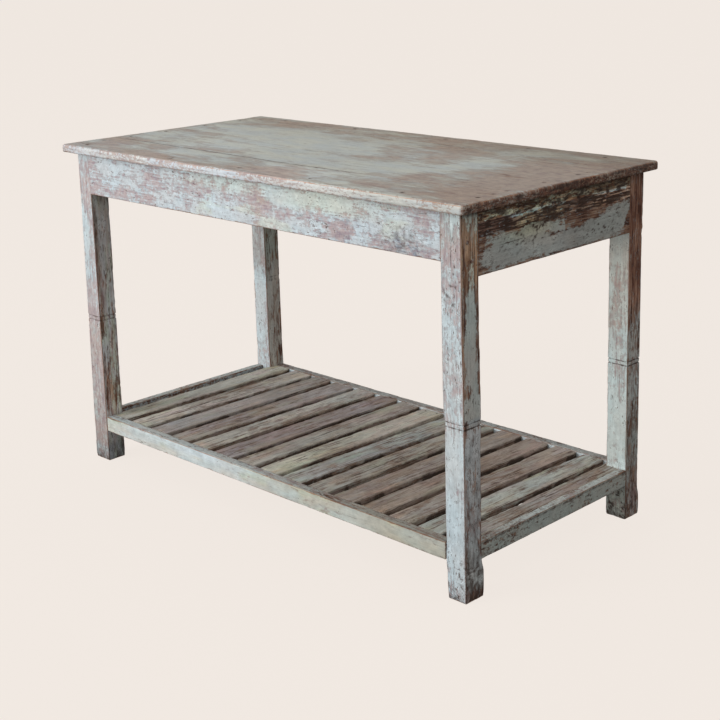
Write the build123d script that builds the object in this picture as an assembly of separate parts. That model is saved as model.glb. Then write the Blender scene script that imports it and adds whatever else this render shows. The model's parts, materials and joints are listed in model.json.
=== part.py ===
from build123d import *
import math
import os

os.makedirs("parts", exist_ok=True)

# ---------------------------------------------------------------------------
# Potting bench: a painted wooden work table on four square legs, with deep
# aprons under a boarded top and a low slatted shelf.
# Millimetres. Origin on the floor at the middle of the plan, +X to the right
# along the length, -Y the front, +Z up.
# ---------------------------------------------------------------------------

# --- driving dimensions ----------------------------------------------------
HEIGHT = 762.0            # floor to worktop surface (30 in)
TOP_L = 1222.0            # worktop length
TOP_W = 604.0             # worktop width
TOP_T = 18.5              # worktop board thickness
TOP_CORNER_R = 9.0        # plan corner of the worktop
TOP_NOSE_UP = 6.0         # worn bullnose, upper arris
TOP_NOSE_LOW = 3.0        # worn bullnose, lower arris

FRAME_L = 1176.5          # over the legs, along X
FRAME_W = 557.2           # over the legs, along Y
LEG_X = {-1: 46.6, 1: 49.4}  # leg sections along X: the right-hand pair are stouter
LEG_Y = 44.8              # leg section along Y
LEG_ARRIS = 1.6           # eased long arrises of the legs
FOOT_CHAMFER = 3.0        # eased bottom arris of each foot
BACK_WAIST = 3.0          # back right leg: its rear face is cut back by this ...
WAIST_LOW = (48.0, 64.0)  # ... above this slope at the foot
WAIST_HIGH = (619.0, 625.0)  # ... and below this slope under the apron
SCRIBE_Z = {              # heights of the two scribed lines round each leg
    "front_right": (341.0, 350.0),
    "front_left": (347.0, 356.0),
    "back_right": (339.0, 348.0),
    "back_left": (343.0, 352.0),
}
SCRIBE_DEPTH = 1.1
SCRIBE_HALF = 1.0

APRON_T = 22.0            # apron thickness
APRON_LONG_H = 94.5       # front and back aprons
APRON_END_H = {-1: 113.5, 1: 122.5}   # end aprons are deeper, the right one most
TENON_T = 10.0            # every tenon is a third to a half of its rail
TENON_IN = 6.0            # shoulder from the outer face to the tenon
TENON_LONG_LEN = 28.0     # tenons of the long aprons and rails, along X
TENON_END_LEN = 34.0      # tenons of the end aprons, along Y
RAIL_TENON_END_LEN = 26.0  # tenons of the end shelf rails, along Y
TENON_HAUNCH = 14.0       # tenons stop short of the apron's top
TENON_SHOULDER = 8.0      # and of its bottom

RAIL_TOP = 110.7          # top of the shelf rails and slats
RAIL_H = 35.2             # shelf rail depth
RAIL_T_LONG = 22.0        # front and back shelf rails
RAIL_T_END = 20.0         # end shelf rails
RAIL_TENON_SHOULDER = 5.0

LEDGER_H = 17.0           # strips that carry the slats
LEDGER_T = 20.0
SLAT_T = 16.0
SLAT_END_GAP = 0.4        # slat ends to rail faces
SLAT_ARRIS = 1.2

BEARER_W = 45.0           # cross bearer under the middle of the top
BEARER_H = 30.0
BEARER_TENON = 12.0       # its ends are housed this deep in the long aprons

PEG_R = 3.5               # apron pegs
RAIL_PEG_R = 3.0          # shelf rail pegs
PEG_LEN = 34.0
NAIL_R = 1.4              # cut nails
NAIL_HEAD_R = 2.6
NAIL_HEAD_H = 1.2
SCREW_R = 2.0
SCREW_HEAD_R = 3.9

# gaps between slats: (front low, front high, back low, back high) along X.
# The slats are hand laid: they lean a little between front and back.
GAPS = [
    (-568.25, -546.0, -568.25, -545.0),
    (-493.0, -473.0, -489.0, -468.0),
    (-414.0, -397.0, -405.0, -388.0),
    (-339.0, -321.0, -332.0, -314.0),
    (-264.0, -246.0, -250.0, -234.0),
    (-186.0, -168.0, -175.0, -157.0),
    (-107.0, -90.0, -98.0, -82.0),
    (-34.0, -16.0, -24.0, -8.0),
    (42.0, 58.0, 54.0, 73.0),
    (118.0, 135.0, 133.0, 151.0),
    (195.0, 214.0, 209.0, 229.0),
    (273.0, 294.0, 290.0, 309.0),
    (352.0, 371.0, 366.0, 385.0),
    (427.0, 447.0, 443.0, 460.0),
    (504.0, 526.0, 514.0, 531.0),
    (567.3, 568.25, 567.3, 568.25),
]

# seams of the top: Y at the left end, at the middle and at the right end
SEAM_FRONT = (-157.0, -175.0, -172.0)
SEAM_BACK = (251.0, 212.0, 168.0)
SEAM_GAP = 0.15           # half of the open line between two boards

# --- derived ---------------------------------------------------------------
TOP_Z = HEIGHT - TOP_T
LEG_TOP = TOP_Z
FX = FRAME_L / 2
FY = FRAME_W / 2
LEG_IX = {s: FX - LEG_X[s] for s in (-1, 1)}  # inner faces of the legs along X
LEG_IY = FY - LEG_Y       # inner face of the legs along Y
RAIL_BOT = RAIL_TOP - RAIL_H
SLAT_BOT = RAIL_TOP - SLAT_T
RAIL_IY = FY - RAIL_T_LONG    # inner face of the long shelf rails
RAIL_IX = FX - RAIL_T_END     # inner face of the end shelf rails
LONG_Z = TOP_Z - APRON_LONG_H
END_Z = {s: TOP_Z - APRON_END_H[s] for s in (-1, 1)}

CORNERS = {
    "front_left": (-1, -1),
    "front_right": (1, -1),
    "back_left": (-1, 1),
    "back_right": (1, 1),
}


def block(x0, x1, y0, y1, z0, z1):
    """A rectangular solid between two corners."""
    return Pos((x0 + x1) / 2, (y0 + y1) / 2, (z0 + z1) / 2) * Box(
        abs(x1 - x0), abs(y1 - y0), abs(z1 - z0))


def prism(points, z0, z1):
    """A plan outline raised from z0 to z1."""
    outline = make_face(Polyline(*[(x, y, z0) for x, y in points], close=True))
    return extrude(outline, amount=z1 - z0, dir=(0, 0, 1))


def rod(x, y, z, axis, length, r):
    """A round rod from a point along an axis."""
    d = Vector(*axis)
    return Plane(origin=(x, y, z), z_dir=d) * Cylinder(
        r, length, align=(Align.CENTER, Align.CENTER, Align.MIN))


def long_arrises(part, axis, r):
    """Round the edges that run along one axis."""
    return fillet(part.edges().filter_by(axis), r)


def mirrored(sx, sy, x0, x1, y0, y1, z0, z1):
    """A block given for the corner at +X +Y, moved to the corner sx, sy."""
    return block(sx * x0, sx * x1, sy * y0, sy * y1, z0, z1)


# --- tenons: one definition, used for the tenon and for its mortise --------
def apron_tenon_long(sx, sy):
    return mirrored(sx, sy, LEG_IX[sx], LEG_IX[sx] + TENON_LONG_LEN,
                    FY - TENON_IN - TENON_T, FY - TENON_IN,
                    LONG_Z + TENON_SHOULDER, TOP_Z - TENON_HAUNCH)


def apron_tenon_end(sx, sy):
    return mirrored(sx, sy, FX - TENON_IN - TENON_T, FX - TENON_IN,
                    LEG_IY, LEG_IY + TENON_END_LEN,
                    END_Z[sx] + TENON_SHOULDER, TOP_Z - TENON_HAUNCH)


def rail_tenon_long(sx, sy):
    return mirrored(sx, sy, LEG_IX[sx], LEG_IX[sx] + TENON_LONG_LEN,
                    FY - TENON_IN - TENON_T, FY - TENON_IN,
                    RAIL_BOT + RAIL_TENON_SHOULDER, RAIL_TOP - RAIL_TENON_SHOULDER)


def rail_tenon_end(sx, sy):
    return mirrored(sx, sy, FX - TENON_IN - TENON_T, FX - TENON_IN,
                    LEG_IY, LEG_IY + RAIL_TENON_END_LEN,
                    RAIL_BOT + RAIL_TENON_SHOULDER, RAIL_TOP - RAIL_TENON_SHOULDER)


# --- pegs: each runs in from a leg's outer face through a tenon ------------
def apron_peg_solids(sx, sy):
    # one through the long apron's tenon, two staggered through the end apron's
    return [
        rod(sx * 549.5, sy * FY, 684.0, (0, -sy, 0), PEG_LEN, PEG_R),
        rod(sx * FX, sy * 250.5, 651.0, (-sx, 0, 0), PEG_LEN, PEG_R),
        rod(sx * FX, sy * 262.0, 687.5, (-sx, 0, 0), PEG_LEN, PEG_R),
    ]


def rail_peg_solids(sx, sy):
    return [
        rod(sx * (FX - 33.6), sy * FY, 87.5, (0, -sy, 0), PEG_LEN, RAIL_PEG_R),
        rod(sx * FX, sy * (LEG_IY + 12.0), 98.5, (-sx, 0, 0), PEG_LEN, RAIL_PEG_R),
    ]


# --- legs ------------------------------------------------------------------
def scribe_ring(x0, x1, y0, y1, z):
    """A shallow V cut all round a square section at one height."""
    r = SCRIBE_DEPTH
    h = SCRIBE_HALF
    over = 0.6
    outer = block(x0 - over, x1 + over, y0 - over, y1 + over, z - h * 1.6, z + h * 1.6)
    # the kept core pinches in to the bottom of the V at mid height
    low = Plane.XY.offset(z - h * 1.6)
    mid = Plane.XY.offset(z)
    top = Plane.XY.offset(z + h * 1.6)
    cx, cy = (x0 + x1) / 2, (y0 + y1) / 2
    w, d = x1 - x0, y1 - y0
    grow = 0.6 * r / h
    core = loft([low * Pos(cx, cy) * Rectangle(w + 2 * grow, d + 2 * grow),
                 mid * Pos(cx, cy) * Rectangle(w - 2 * r, d - 2 * r)], ruled=True)
    core += loft([mid * Pos(cx, cy) * Rectangle(w - 2 * r, d - 2 * r),
                  top * Pos(cx, cy) * Rectangle(w + 2 * grow, d + 2 * grow)], ruled=True)
    return outer - core


def make_leg(name):
    sx, sy = CORNERS[name]
    x0, x1 = sorted((sx * LEG_IX[sx], sx * FX))
    y0, y1 = sorted((sy * LEG_IY, sy * FY))
    leg = block(x0, x1, y0, y1, 0, LEG_TOP)
    leg = long_arrises(leg, Axis.Z, LEG_ARRIS)
    if name == "back_right":
        # the rear face is planed back between the apron and the foot
        profile = make_face(Polyline(
            (x0 - 5, FY + 1, WAIST_LOW[0] - (WAIST_LOW[1] - WAIST_LOW[0]) / BACK_WAIST),
            (x0 - 5, FY - BACK_WAIST, WAIST_LOW[1]),
            (x0 - 5, FY - BACK_WAIST, WAIST_HIGH[0]),
            (x0 - 5, FY + 1, WAIST_HIGH[1] + (WAIST_HIGH[1] - WAIST_HIGH[0]) / BACK_WAIST),
            close=True))
        leg -= extrude(profile, amount=LEG_X[sx] + 10, dir=(1, 0, 0))
    ya, yb = (y0, y1 - BACK_WAIST) if name == "back_right" else (y0, y1)
    for z in SCRIBE_Z[name]:
        leg -= scribe_ring(x0, x1, ya, yb, z)
    # ease the foot's bottom arris all round
    c = FOOT_CHAMFER
    mid = Pos((x0 + x1) / 2, (y0 + y1) / 2, 0)
    bevel = loft([mid * Rectangle(LEG_X[sx] - 2 * c, LEG_Y - 2 * c),
                  Pos(0, 0, c + 2) * mid * Rectangle(LEG_X[sx] + 4, LEG_Y + 4)], ruled=True)
    bevel += block(x0 - 2, x1 + 2, y0 - 2, y1 + 2, c + 2, LEG_TOP + 5)
    leg = leg & bevel
    for cut in (apron_tenon_long(sx, sy), apron_tenon_end(sx, sy),
                rail_tenon_long(sx, sy), rail_tenon_end(sx, sy)):
        leg -= cut
    for peg in apron_peg_solids(sx, sy) + rail_peg_solids(sx, sy):
        leg -= peg
    for n in top_nail_solids():
        c = n.center()
        if c.X * sx > LEG_IX[sx] and c.Y * sy > LEG_IY:
            leg -= n
    return leg


# --- aprons ----------------------------------------------------------------
def bearer_housing(sy):
    """Where the cross bearer's end is let into a long apron."""
    return block(-BEARER_W / 2, BEARER_W / 2,
                 sy * (FY - APRON_T), sy * (FY - APRON_T + BEARER_TENON),
                 TOP_Z - BEARER_H, TOP_Z)


def make_long_apron(sy):
    y0, y1 = sorted((sy * (FY - APRON_T), sy * FY))
    apron = block(-LEG_IX[-1], LEG_IX[1], y0, y1, LONG_Z, TOP_Z)
    low = apron.edges().filter_by(Axis.X).sort_by(Axis.Z)[:2]
    apron = fillet(low, 1.5)
    for sx in (-1, 1):
        tenon = apron_tenon_long(sx, sy)
        for peg in apron_peg_solids(sx, sy):
            tenon -= peg
        apron += tenon
    apron -= bearer_housing(sy)
    for nail in top_nail_solids():
        apron -= nail
    return apron


def make_end_apron(sx):
    x0, x1 = sorted((sx * (FX - APRON_T), sx * FX))
    apron = block(x0, x1, -LEG_IY, LEG_IY, END_Z[sx], TOP_Z)
    low = apron.edges().filter_by(Axis.Y).sort_by(Axis.Z)[:2]
    apron = fillet(low, 1.5)
    for sy in (-1, 1):
        tenon = apron_tenon_end(sx, sy)
        for peg in apron_peg_solids(sx, sy):
            tenon -= peg
        apron += tenon
    for nail in top_nail_solids():
        apron -= nail
    return apron


# --- worktop ---------------------------------------------------------------
def seam_at(seam, x):
    """Y of a seam at a station along the length."""
    half = TOP_L / 2 + 20
    if x <= 0:
        t = (x + half) / half
        return seam[0] + (seam[1] - seam[0]) * t
    t = x / half
    return seam[1] + (seam[2] - seam[1]) * t


def top_panel():
    panel = block(-TOP_L / 2, TOP_L / 2, -TOP_W / 2, TOP_W / 2, TOP_Z, HEIGHT)
    panel = fillet(panel.edges().filter_by(Axis.Z), TOP_CORNER_R)
    panel = fillet(panel.edges().group_by(Axis.Z)[-1], TOP_NOSE_UP)
    panel = fillet(panel.edges().group_by(Axis.Z)[0], TOP_NOSE_LOW)
    return panel


def strip(lo, hi):
    """Everything between two seams, taller and longer than the top."""
    ends = (-TOP_L / 2 - 20, 0.0, TOP_L / 2 + 20)
    pts = [(x, lo(x)) for x in ends] + [(x, hi(x)) for x in reversed(ends)]
    return prism(pts, TOP_Z - 5, HEIGHT + 5)


def nail(x, y, z, axis, length):
    """A cut nail: a round shank under a small flat head, from its head."""
    body = rod(x, y, z, axis, length, NAIL_R)
    return body + rod(x, y, z, axis, NAIL_HEAD_H, NAIL_HEAD_R)


# nails through the boards into the aprons: right end, left end, front, back
TOP_NAILS = [
    (581.0, 101.0), (581.0, 70.0), (581.0, -37.0), (581.0, -145.0),
    (581.0, -182.0), (581.0, -226.0),
    (-578.0, 205.0), (-579.0, 92.0), (-578.0, -28.0), (-580.0, -128.0),
    (-578.0, -205.0),
    (-552.0, -270.5), (-232.0, -271.0), (-15.0, -270.5), (196.0, -271.0),
    (440.0, -270.0),
    (-480.0, 270.5), (-230.0, 269.5), (60.0, 270.0), (300.0, 268.5),
    (500.0, 269.5),
]
TOP_NAIL_LEN = 35.0


def top_nail_solids():
    return [nail(x, y, HEIGHT - 0.6, (0, 0, -1), TOP_NAIL_LEN) for x, y in TOP_NAILS]


# screws up through the bearer into each board
BEARER_SCREWS = [(-11.0, -205.0), (11.0, -140.0), (-11.0, -70.0), (11.0, 20.0),
                 (-11.0, 110.0), (11.0, 185.0), (-11.0, 228.0)]
SCREW_UP = TOP_T * 0.62


def bearer_screw_solids():
    out = []
    for x, y in BEARER_SCREWS:
        z = TOP_Z - BEARER_H
        body = rod(x, y, z, (0, 0, 1), BEARER_H + SCREW_UP, SCREW_R)
        head = Pos(x, y, z + 1.5) * Cone(SCREW_HEAD_R, SCREW_R, 3.0)
        out.append(body + head)
    return out


def make_top_board(which):
    f = lambda x: seam_at(SEAM_FRONT, x)
    b = lambda x: seam_at(SEAM_BACK, x)
    far = TOP_W
    if which == "front":
        cut = strip(lambda x: -far, lambda x: f(x) - SEAM_GAP)
    elif which == "middle":
        cut = strip(lambda x: f(x) + SEAM_GAP, lambda x: b(x) - SEAM_GAP)
    else:
        cut = strip(lambda x: b(x) + SEAM_GAP, lambda x: far)
    board = top_panel() & cut
    for n in top_nail_solids() + bearer_screw_solids() + seam_dowel_solids():
        board -= n
    # nail heads sit just under the surface, in their own punched holes
    for x, y in TOP_NAILS:
        board -= rod(x, y, HEIGHT + 1, (0, 0, -1), 1.6, NAIL_HEAD_R)
    return board


# dowels across the two glued seams, hidden inside the thickness
DOWEL_R = 4.0
DOWEL_LEN = 56.0
DOWEL_X_FRONT = (-480.0, -240.0, 60.0, 290.0, 500.0)
DOWEL_X_BACK = (-500.0, -260.0, 60.0, 280.0, 470.0)


def seam_dowel_solids():
    out = []
    for seam, xs in ((SEAM_FRONT, DOWEL_X_FRONT), (SEAM_BACK, DOWEL_X_BACK)):
        for x in xs:
            y = seam_at(seam, x)
            out.append(rod(x, y - DOWEL_LEN / 2, TOP_Z + TOP_T / 2, (0, 1, 0),
                           DOWEL_LEN, DOWEL_R))
    return out


def make_bearer():
    ye = FY - APRON_T + BEARER_TENON
    bearer = block(-BEARER_W / 2, BEARER_W / 2, -ye, ye, TOP_Z - BEARER_H, TOP_Z)
    for s in bearer_screw_solids():
        bearer -= s
    return bearer


# --- shelf -----------------------------------------------------------------
def ledger_nail_solids():
    """Nails through the ledgers into the long rails."""
    out = []
    z = SLAT_BOT - LEDGER_H / 2
    for sy, xs in ((-1, (-500.0, -300.0, -100.0, 95.0, 300.0, 500.0)),
                   (1, (-517.0, -285.0, -90.0, 103.0, 300.0, 487.0))):
        for x in xs:
            out.append(nail(x, sy * (RAIL_IY - LEDGER_T), z, (0, sy, 0), LEDGER_T + 14.0))
    return out


def make_long_rail(sy):
    y0, y1 = sorted((sy * RAIL_IY, sy * FY))
    rail = block(-LEG_IX[-1], LEG_IX[1], y0, y1, RAIL_BOT, RAIL_TOP)
    rail = long_arrises(rail, Axis.X, 1.6)
    for sx in (-1, 1):
        tenon = rail_tenon_long(sx, sy)
        for peg in rail_peg_solids(sx, sy):
            tenon -= peg
        rail += tenon
    for n in ledger_nail_solids():
        rail -= n
    return rail


def make_end_rail(sx):
    x0, x1 = sorted((sx * RAIL_IX, sx * FX))
    rail = block(x0, x1, -LEG_IY, LEG_IY, RAIL_BOT, RAIL_TOP)
    rail = long_arrises(rail, Axis.Y, 1.6)
    for sy in (-1, 1):
        tenon = rail_tenon_end(sx, sy)
        for peg in rail_peg_solids(sx, sy):
            tenon -= peg
        rail += tenon
    return rail


def slat_nail_solids():
    """Two nails through each end of each slat into the ledgers."""
    out = []
    y = RAIL_IY - LEDGER_T / 2
    for i in range(len(GAPS) - 1):
        for sy, a, b in ((-1, GAPS[i][1], GAPS[i + 1][0]), (1, GAPS[i][3], GAPS[i + 1][2])):
            if b - a < 45:
                xs = [min((a + b) / 2, LEG_IX[1] - 4.15)]
            else:
                xs = [a + 13.0, b - 13.0]
            for x in xs:
                x = max(-LEG_IX[-1] + 7, min(LEG_IX[1] - 4.15, x))
                out.append(nail(x, sy * y, RAIL_TOP - 0.5, (0, 0, -1), 30.0))
    return out


def make_ledger(sy):
    y0, y1 = sorted((sy * (RAIL_IY - LEDGER_T), sy * RAIL_IY))
    ledger = block(-LEG_IX[-1], LEG_IX[1], y0, y1, SLAT_BOT - LEDGER_H, SLAT_BOT)
    for n in ledger_nail_solids() + slat_nail_solids():
        ledger -= n
    return ledger


def make_slat(i):
    yf, yb = -RAIL_IY + SLAT_END_GAP, RAIL_IY - SLAT_END_GAP
    g0, g1 = GAPS[i], GAPS[i + 1]
    slat = prism([(g0[1], yf), (g1[0], yf), (g1[2], yb), (g0[3], yb)], SLAT_BOT, RAIL_TOP)
    slat = fillet(slat.edges().group_by(Axis.Z)[-1], SLAT_ARRIS)
    # the first and last slats are notched round the legs
    for sx in (-1, 1):
        for sy in (-1, 1):
            slat -= block(sx * (LEG_IX[sx] - 0.5), sx * (FX + 5),
                          sy * (LEG_IY - 0.5), sy * (FY + 5), SLAT_BOT - 5, RAIL_TOP + 5)
    for n in slat_nail_solids():
        slat -= n
    x0 = min(g0[1], g0[3])
    x1 = max(g1[0], g1[2])
    for n in slat_nail_solids():
        c = n.center()
        if x0 < c.X < x1:
            slat -= rod(c.X, c.Y, RAIL_TOP + 1, (0, 0, -1), 1.5, NAIL_HEAD_R)
    return slat


# --- build every piece -----------------------------------------------------
pieces = {}
for name in CORNERS:
    side, hand = name.split("_")
    pieces["leg_" + name] = make_leg(name)
pieces["front_apron"] = make_long_apron(-1)
pieces["back_apron"] = make_long_apron(1)
pieces["left_end_apron"] = make_end_apron(-1)
pieces["right_end_apron"] = make_end_apron(1)
pieces["top_board_front"] = make_top_board("front")
pieces["top_board_middle"] = make_top_board("middle")
pieces["top_board_back"] = make_top_board("back")
pieces["top_bearer"] = make_bearer()
pieces["shelf_front_rail"] = make_long_rail(-1)
pieces["shelf_back_rail"] = make_long_rail(1)
pieces["shelf_left_rail"] = make_end_rail(-1)
pieces["shelf_right_rail"] = make_end_rail(1)
pieces["shelf_ledger_front"] = make_ledger(-1)
pieces["shelf_ledger_back"] = make_ledger(1)
for i in range(len(GAPS) - 1):
    pieces["shelf_slat_%02d" % (i + 1)] = make_slat(i)

apron_pegs = []
rail_pegs = []
for sx, sy in CORNERS.values():
    apron_pegs += apron_peg_solids(sx, sy)
    rail_pegs += rail_peg_solids(sx, sy)
pieces["apron_pegs"] = Compound(children=apron_pegs)
pieces["shelf_rail_pegs"] = Compound(children=rail_pegs)
pieces["top_nails"] = Compound(children=top_nail_solids())
pieces["bearer_screws"] = Compound(children=bearer_screw_solids())
pieces["top_seam_dowels"] = Compound(children=seam_dowel_solids())
pieces["ledger_nails"] = Compound(children=ledger_nail_solids())
pieces["slat_nails"] = Compound(children=slat_nail_solids())

for node, shape in pieces.items():
    export_step(shape, "parts/%s.step" % node)
    box = shape.bounding_box()
    print("%-20s %2d solids %9.1f cm3  x %.1f..%.1f y %.1f..%.1f z %.1f..%.1f" % (
        node, len(shape.solids()), sum(s.volume for s in shape.solids()) / 1000,
        box.min.X, box.max.X, box.min.Y, box.max.Y, box.min.Z, box.max.Z))
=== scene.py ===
import json
import math

import bpy
import numpy as np
from mathutils import Matrix, Vector


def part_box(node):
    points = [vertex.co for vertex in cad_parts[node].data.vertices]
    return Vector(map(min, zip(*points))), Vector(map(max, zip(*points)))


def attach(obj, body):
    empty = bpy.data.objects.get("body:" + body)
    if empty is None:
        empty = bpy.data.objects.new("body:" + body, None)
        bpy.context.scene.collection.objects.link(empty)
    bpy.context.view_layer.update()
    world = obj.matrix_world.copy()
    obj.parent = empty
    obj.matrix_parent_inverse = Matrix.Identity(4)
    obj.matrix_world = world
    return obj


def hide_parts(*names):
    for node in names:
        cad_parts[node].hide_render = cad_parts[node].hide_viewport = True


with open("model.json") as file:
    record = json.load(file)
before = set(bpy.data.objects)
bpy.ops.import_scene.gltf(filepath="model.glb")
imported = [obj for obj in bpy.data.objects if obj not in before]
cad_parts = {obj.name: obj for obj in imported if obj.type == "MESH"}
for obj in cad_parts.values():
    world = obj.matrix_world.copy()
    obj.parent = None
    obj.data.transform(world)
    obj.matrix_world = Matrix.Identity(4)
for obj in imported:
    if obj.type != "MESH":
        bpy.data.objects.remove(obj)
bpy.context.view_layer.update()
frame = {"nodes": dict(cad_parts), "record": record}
REC = frame["record"]
SLOT_COLOUR = {m["slot"]: m["base_color"] for m in REC["materials"]}


def node_box(name):
    """A CAD node's lowest and highest corner in millimetres."""
    lo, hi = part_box(name)
    return np.array(lo) * 1000.0, np.array(hi) * 1000.0


# ---------------------------------------------------------------------------
# noise for shapes (value noise on a hashed lattice, the same on every run)
# ---------------------------------------------------------------------------
def _hash(ix, iy, iz, seed):
    h = (ix * 374761393 + iy * 668265263 + iz * 1274126177 + seed * 974634777) & 0xFFFFFFFF
    h = ((h ^ (h >> 13)) * 1103515245) & 0xFFFFFFFF
    h = h ^ (h >> 16)
    return (h & 0xFFFF) / 65535.0


def vnoise(p, seed=0):
    """Smooth noise from -1 to 1 at points p (N, 3)."""
    p = np.asarray(p, float)
    f = np.floor(p)
    i = f.astype(np.int64)
    t = p - f
    u = t * t * t * (t * (t * 6 - 15) + 10)
    out = np.zeros(len(p))
    for dx in (0, 1):
        for dy in (0, 1):
            for dz in (0, 1):
                w = ((u[:, 0] if dx else 1 - u[:, 0]) * (u[:, 1] if dy else 1 - u[:, 1])
                     * (u[:, 2] if dz else 1 - u[:, 2]))
                out += w * _hash(i[:, 0] + dx, i[:, 1] + dy, i[:, 2] + dz, seed)
    return out * 2 - 1


def fbm(p, seed=0, octaves=4, gain=0.5):
    total, amp, norm = 0.0, 1.0, 0.0
    q = np.asarray(p, float)
    for k in range(octaves):
        total = total + amp * vnoise(q, seed + 17 * k)
        norm += amp
        amp *= gain
        q = q * 2.03 + 11.7
    return total / norm


def sstep(x, lo, hi):
    t = np.clip((x - lo) / (hi - lo), 0, 1)
    return t * t * (3 - 2 * t)


# ---------------------------------------------------------------------------
# mesh making
# ---------------------------------------------------------------------------
def spread(a, b, step, edge=(0.0, 0.7, 1.5, 2.4, 3.6, 5.4, 8.0), extra=(), near=1.0):
    """Grid lines from a to b: close together at both ends, even between, with extra close lines round chosen places."""
    n = max(2, int(round((b - a - 2 * edge[-1]) / step)) + 1)
    xs = [a + e for e in edge] + [b - e for e in edge]
    if b - a > 2 * edge[-1] + 0.5:
        xs += list(np.linspace(a + edge[-1], b - edge[-1], n))
    for c, half in extra:
        k = max(2, int(round(half / near)))
        xs += [c + half * j / k for j in range(-k, k + 1) if a + 0.3 < c + half * j / k < b - 0.3]
    xs = np.unique(np.round(np.array([x for x in xs if a <= x <= b]), 3))
    keep = [xs[0]]
    for x in xs[1:-1]:
        if x - keep[-1] > 0.34:
            keep.append(x)
    if xs[-1] - keep[-1] < 0.34:
        keep.pop()
    keep.append(xs[-1])
    return np.array(keep)


def grid_box(X, Y, Z):
    """The closed surface of a box as quads on grid lines: (points, faces, face sides)."""
    nx, ny, nz = len(X), len(Y), len(Z)

    def lin(i, j, k):
        return (i * ny + j) * nz + k

    quads = []

    def face(a, b, c, d, flip):
        q = np.stack([a, b, c, d], -1).reshape(-1, 4)
        quads.append(q[:, ::-1] if flip else q)

    J, K = np.meshgrid(np.arange(ny - 1), np.arange(nz - 1), indexing="ij")
    for i, flip in ((0, True), (nx - 1, False)):
        face(lin(i, J, K), lin(i, J + 1, K), lin(i, J + 1, K + 1), lin(i, J, K + 1), flip)
    I, K = np.meshgrid(np.arange(nx - 1), np.arange(nz - 1), indexing="ij")
    for j, flip in ((0, True), (ny - 1, False)):
        face(lin(I, j, K), lin(I, j, K + 1), lin(I + 1, j, K + 1), lin(I + 1, j, K), flip)
    I, J = np.meshgrid(np.arange(nx - 1), np.arange(ny - 1), indexing="ij")
    for k, flip in ((0, True), (nz - 1, False)):
        face(lin(I, J, k), lin(I + 1, J, k), lin(I + 1, J + 1, k), lin(I, J + 1, k), flip)
    q = np.concatenate(quads)
    ids, inv = np.unique(q, return_inverse=True)
    inv = inv.reshape(q.shape)
    pts = np.stack([X[ids // (ny * nz)], Y[(ids // nz) % ny], Z[ids % nz]], -1).astype(float)
    return pts, inv


def round_box(P, lo, hi, r):
    """Rounds a box surface's edges by r (one value per point). Returns points, outward normals and the distance to the nearest edge."""
    lo, hi = np.asarray(lo, float), np.asarray(hi, float)
    c, h = (lo + hi) / 2, (hi - lo) / 2
    L = P - c
    inset = np.sort(h - np.abs(L), axis=1)
    r = np.minimum(r, h.min() * 0.92)[:, None]
    q = np.clip(L, -(h - r), h - r)
    d = L - q
    n = d / np.maximum(np.linalg.norm(d, axis=1, keepdims=True), 1e-9)
    return c + q + r * n, n, inset[:, 1]


def normals_of(P, F):
    a, b, c, d = (P[F[:, k]] for k in range(4))
    fn = np.cross(c - a, d - b)
    n = np.zeros_like(P)
    for k in range(4):
        np.add.at(n, F[:, k], fn)
    return n / np.maximum(np.linalg.norm(n, axis=1, keepdims=True), 1e-12)


def make_object(name, P, F, attrs, material, node=None, smooth=True):
    """A mesh object from points in millimetres, with per-point attributes for its material."""
    me = bpy.data.meshes.new(name)
    me.vertices.add(len(P))
    me.vertices.foreach_set("co", (P / 1000.0).astype(np.float32).ravel())
    nl = F.shape[1]
    me.loops.add(F.size)
    me.loops.foreach_set("vertex_index", F.astype(np.int32).ravel())
    me.polygons.add(len(F))
    me.polygons.foreach_set("loop_start", np.arange(0, F.size, nl, dtype=np.int32))
    me.polygons.foreach_set("use_smooth", np.full(len(F), smooth))
    me.update(calc_edges=True)
    me.validate()
    for key, val in attrs.items():
        val = np.asarray(val, np.float32)
        if val.ndim == 1:
            a = me.attributes.new(key, "FLOAT", "POINT")
            a.data.foreach_set("value", val)
        else:
            a = me.attributes.new(key, "FLOAT_VECTOR", "POINT")
            a.data.foreach_set("vector", val.ravel())
    ob = bpy.data.objects.new(name, me)
    bpy.context.scene.collection.objects.link(ob)
    me.materials.append(material)
    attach(ob, "root")
    if node:
        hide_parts(*([node] if isinstance(node, str) else node))
    return ob


AXES = {"x": 0, "y": 1, "z": 2}


def grain_coords(P, axis, seed):
    """Coordinates for the material, in metres, with the grain along the first one and its own place per piece."""
    k = AXES[axis]
    order = [k, (k + 1) % 3, (k + 2) % 3]
    rng = np.random.default_rng(1000 + seed)
    off = rng.uniform(-3, 3, 3)
    g = P[:, order] / 1000.0
    # the grain drifts a little across the board along its length
    t = g[:, 0]
    g = g.copy()
    g[:, 1] += 0.004 * np.sin(t * 3.1 + seed) + 0.002 * np.sin(t * 9.7 + 2 * seed)
    g[:, 2] += 0.003 * np.sin(t * 4.3 + 1.7 * seed)
    return g + off


def tinted(n, *parts):
    """Per-point tint: each part is a weight per point and a colour factor."""
    t = np.ones((n, 3))
    for w, c in parts:
        w = np.clip(np.broadcast_to(w, (n,)), 0, 1)[:, None]
        t = t * (1 - w) + t * w * np.array(c)
    return t


def blobs(P, items, soft=0.35, seed=5, warp=10.0):
    """Sum of soft patches: each (x, y, z, rx, ry, rz, amount), with None for a direction that doesn't matter."""
    out = np.zeros(len(P))
    w = np.stack([fbm(P / 45.0, seed + k, 3) for k in range(3)], -1) * warp
    Q = P + w
    for it in items:
        c, r, amt = it[0:3], it[3:6], it[6]
        d = np.zeros(len(P))
        for k in range(3):
            if c[k] is not None:
                d += ((Q[:, k] - c[k]) / r[k]) ** 2
        d = np.sqrt(d)
        out += amt * (1 - sstep(d, 1 - soft, 1 + soft))
    return out


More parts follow.
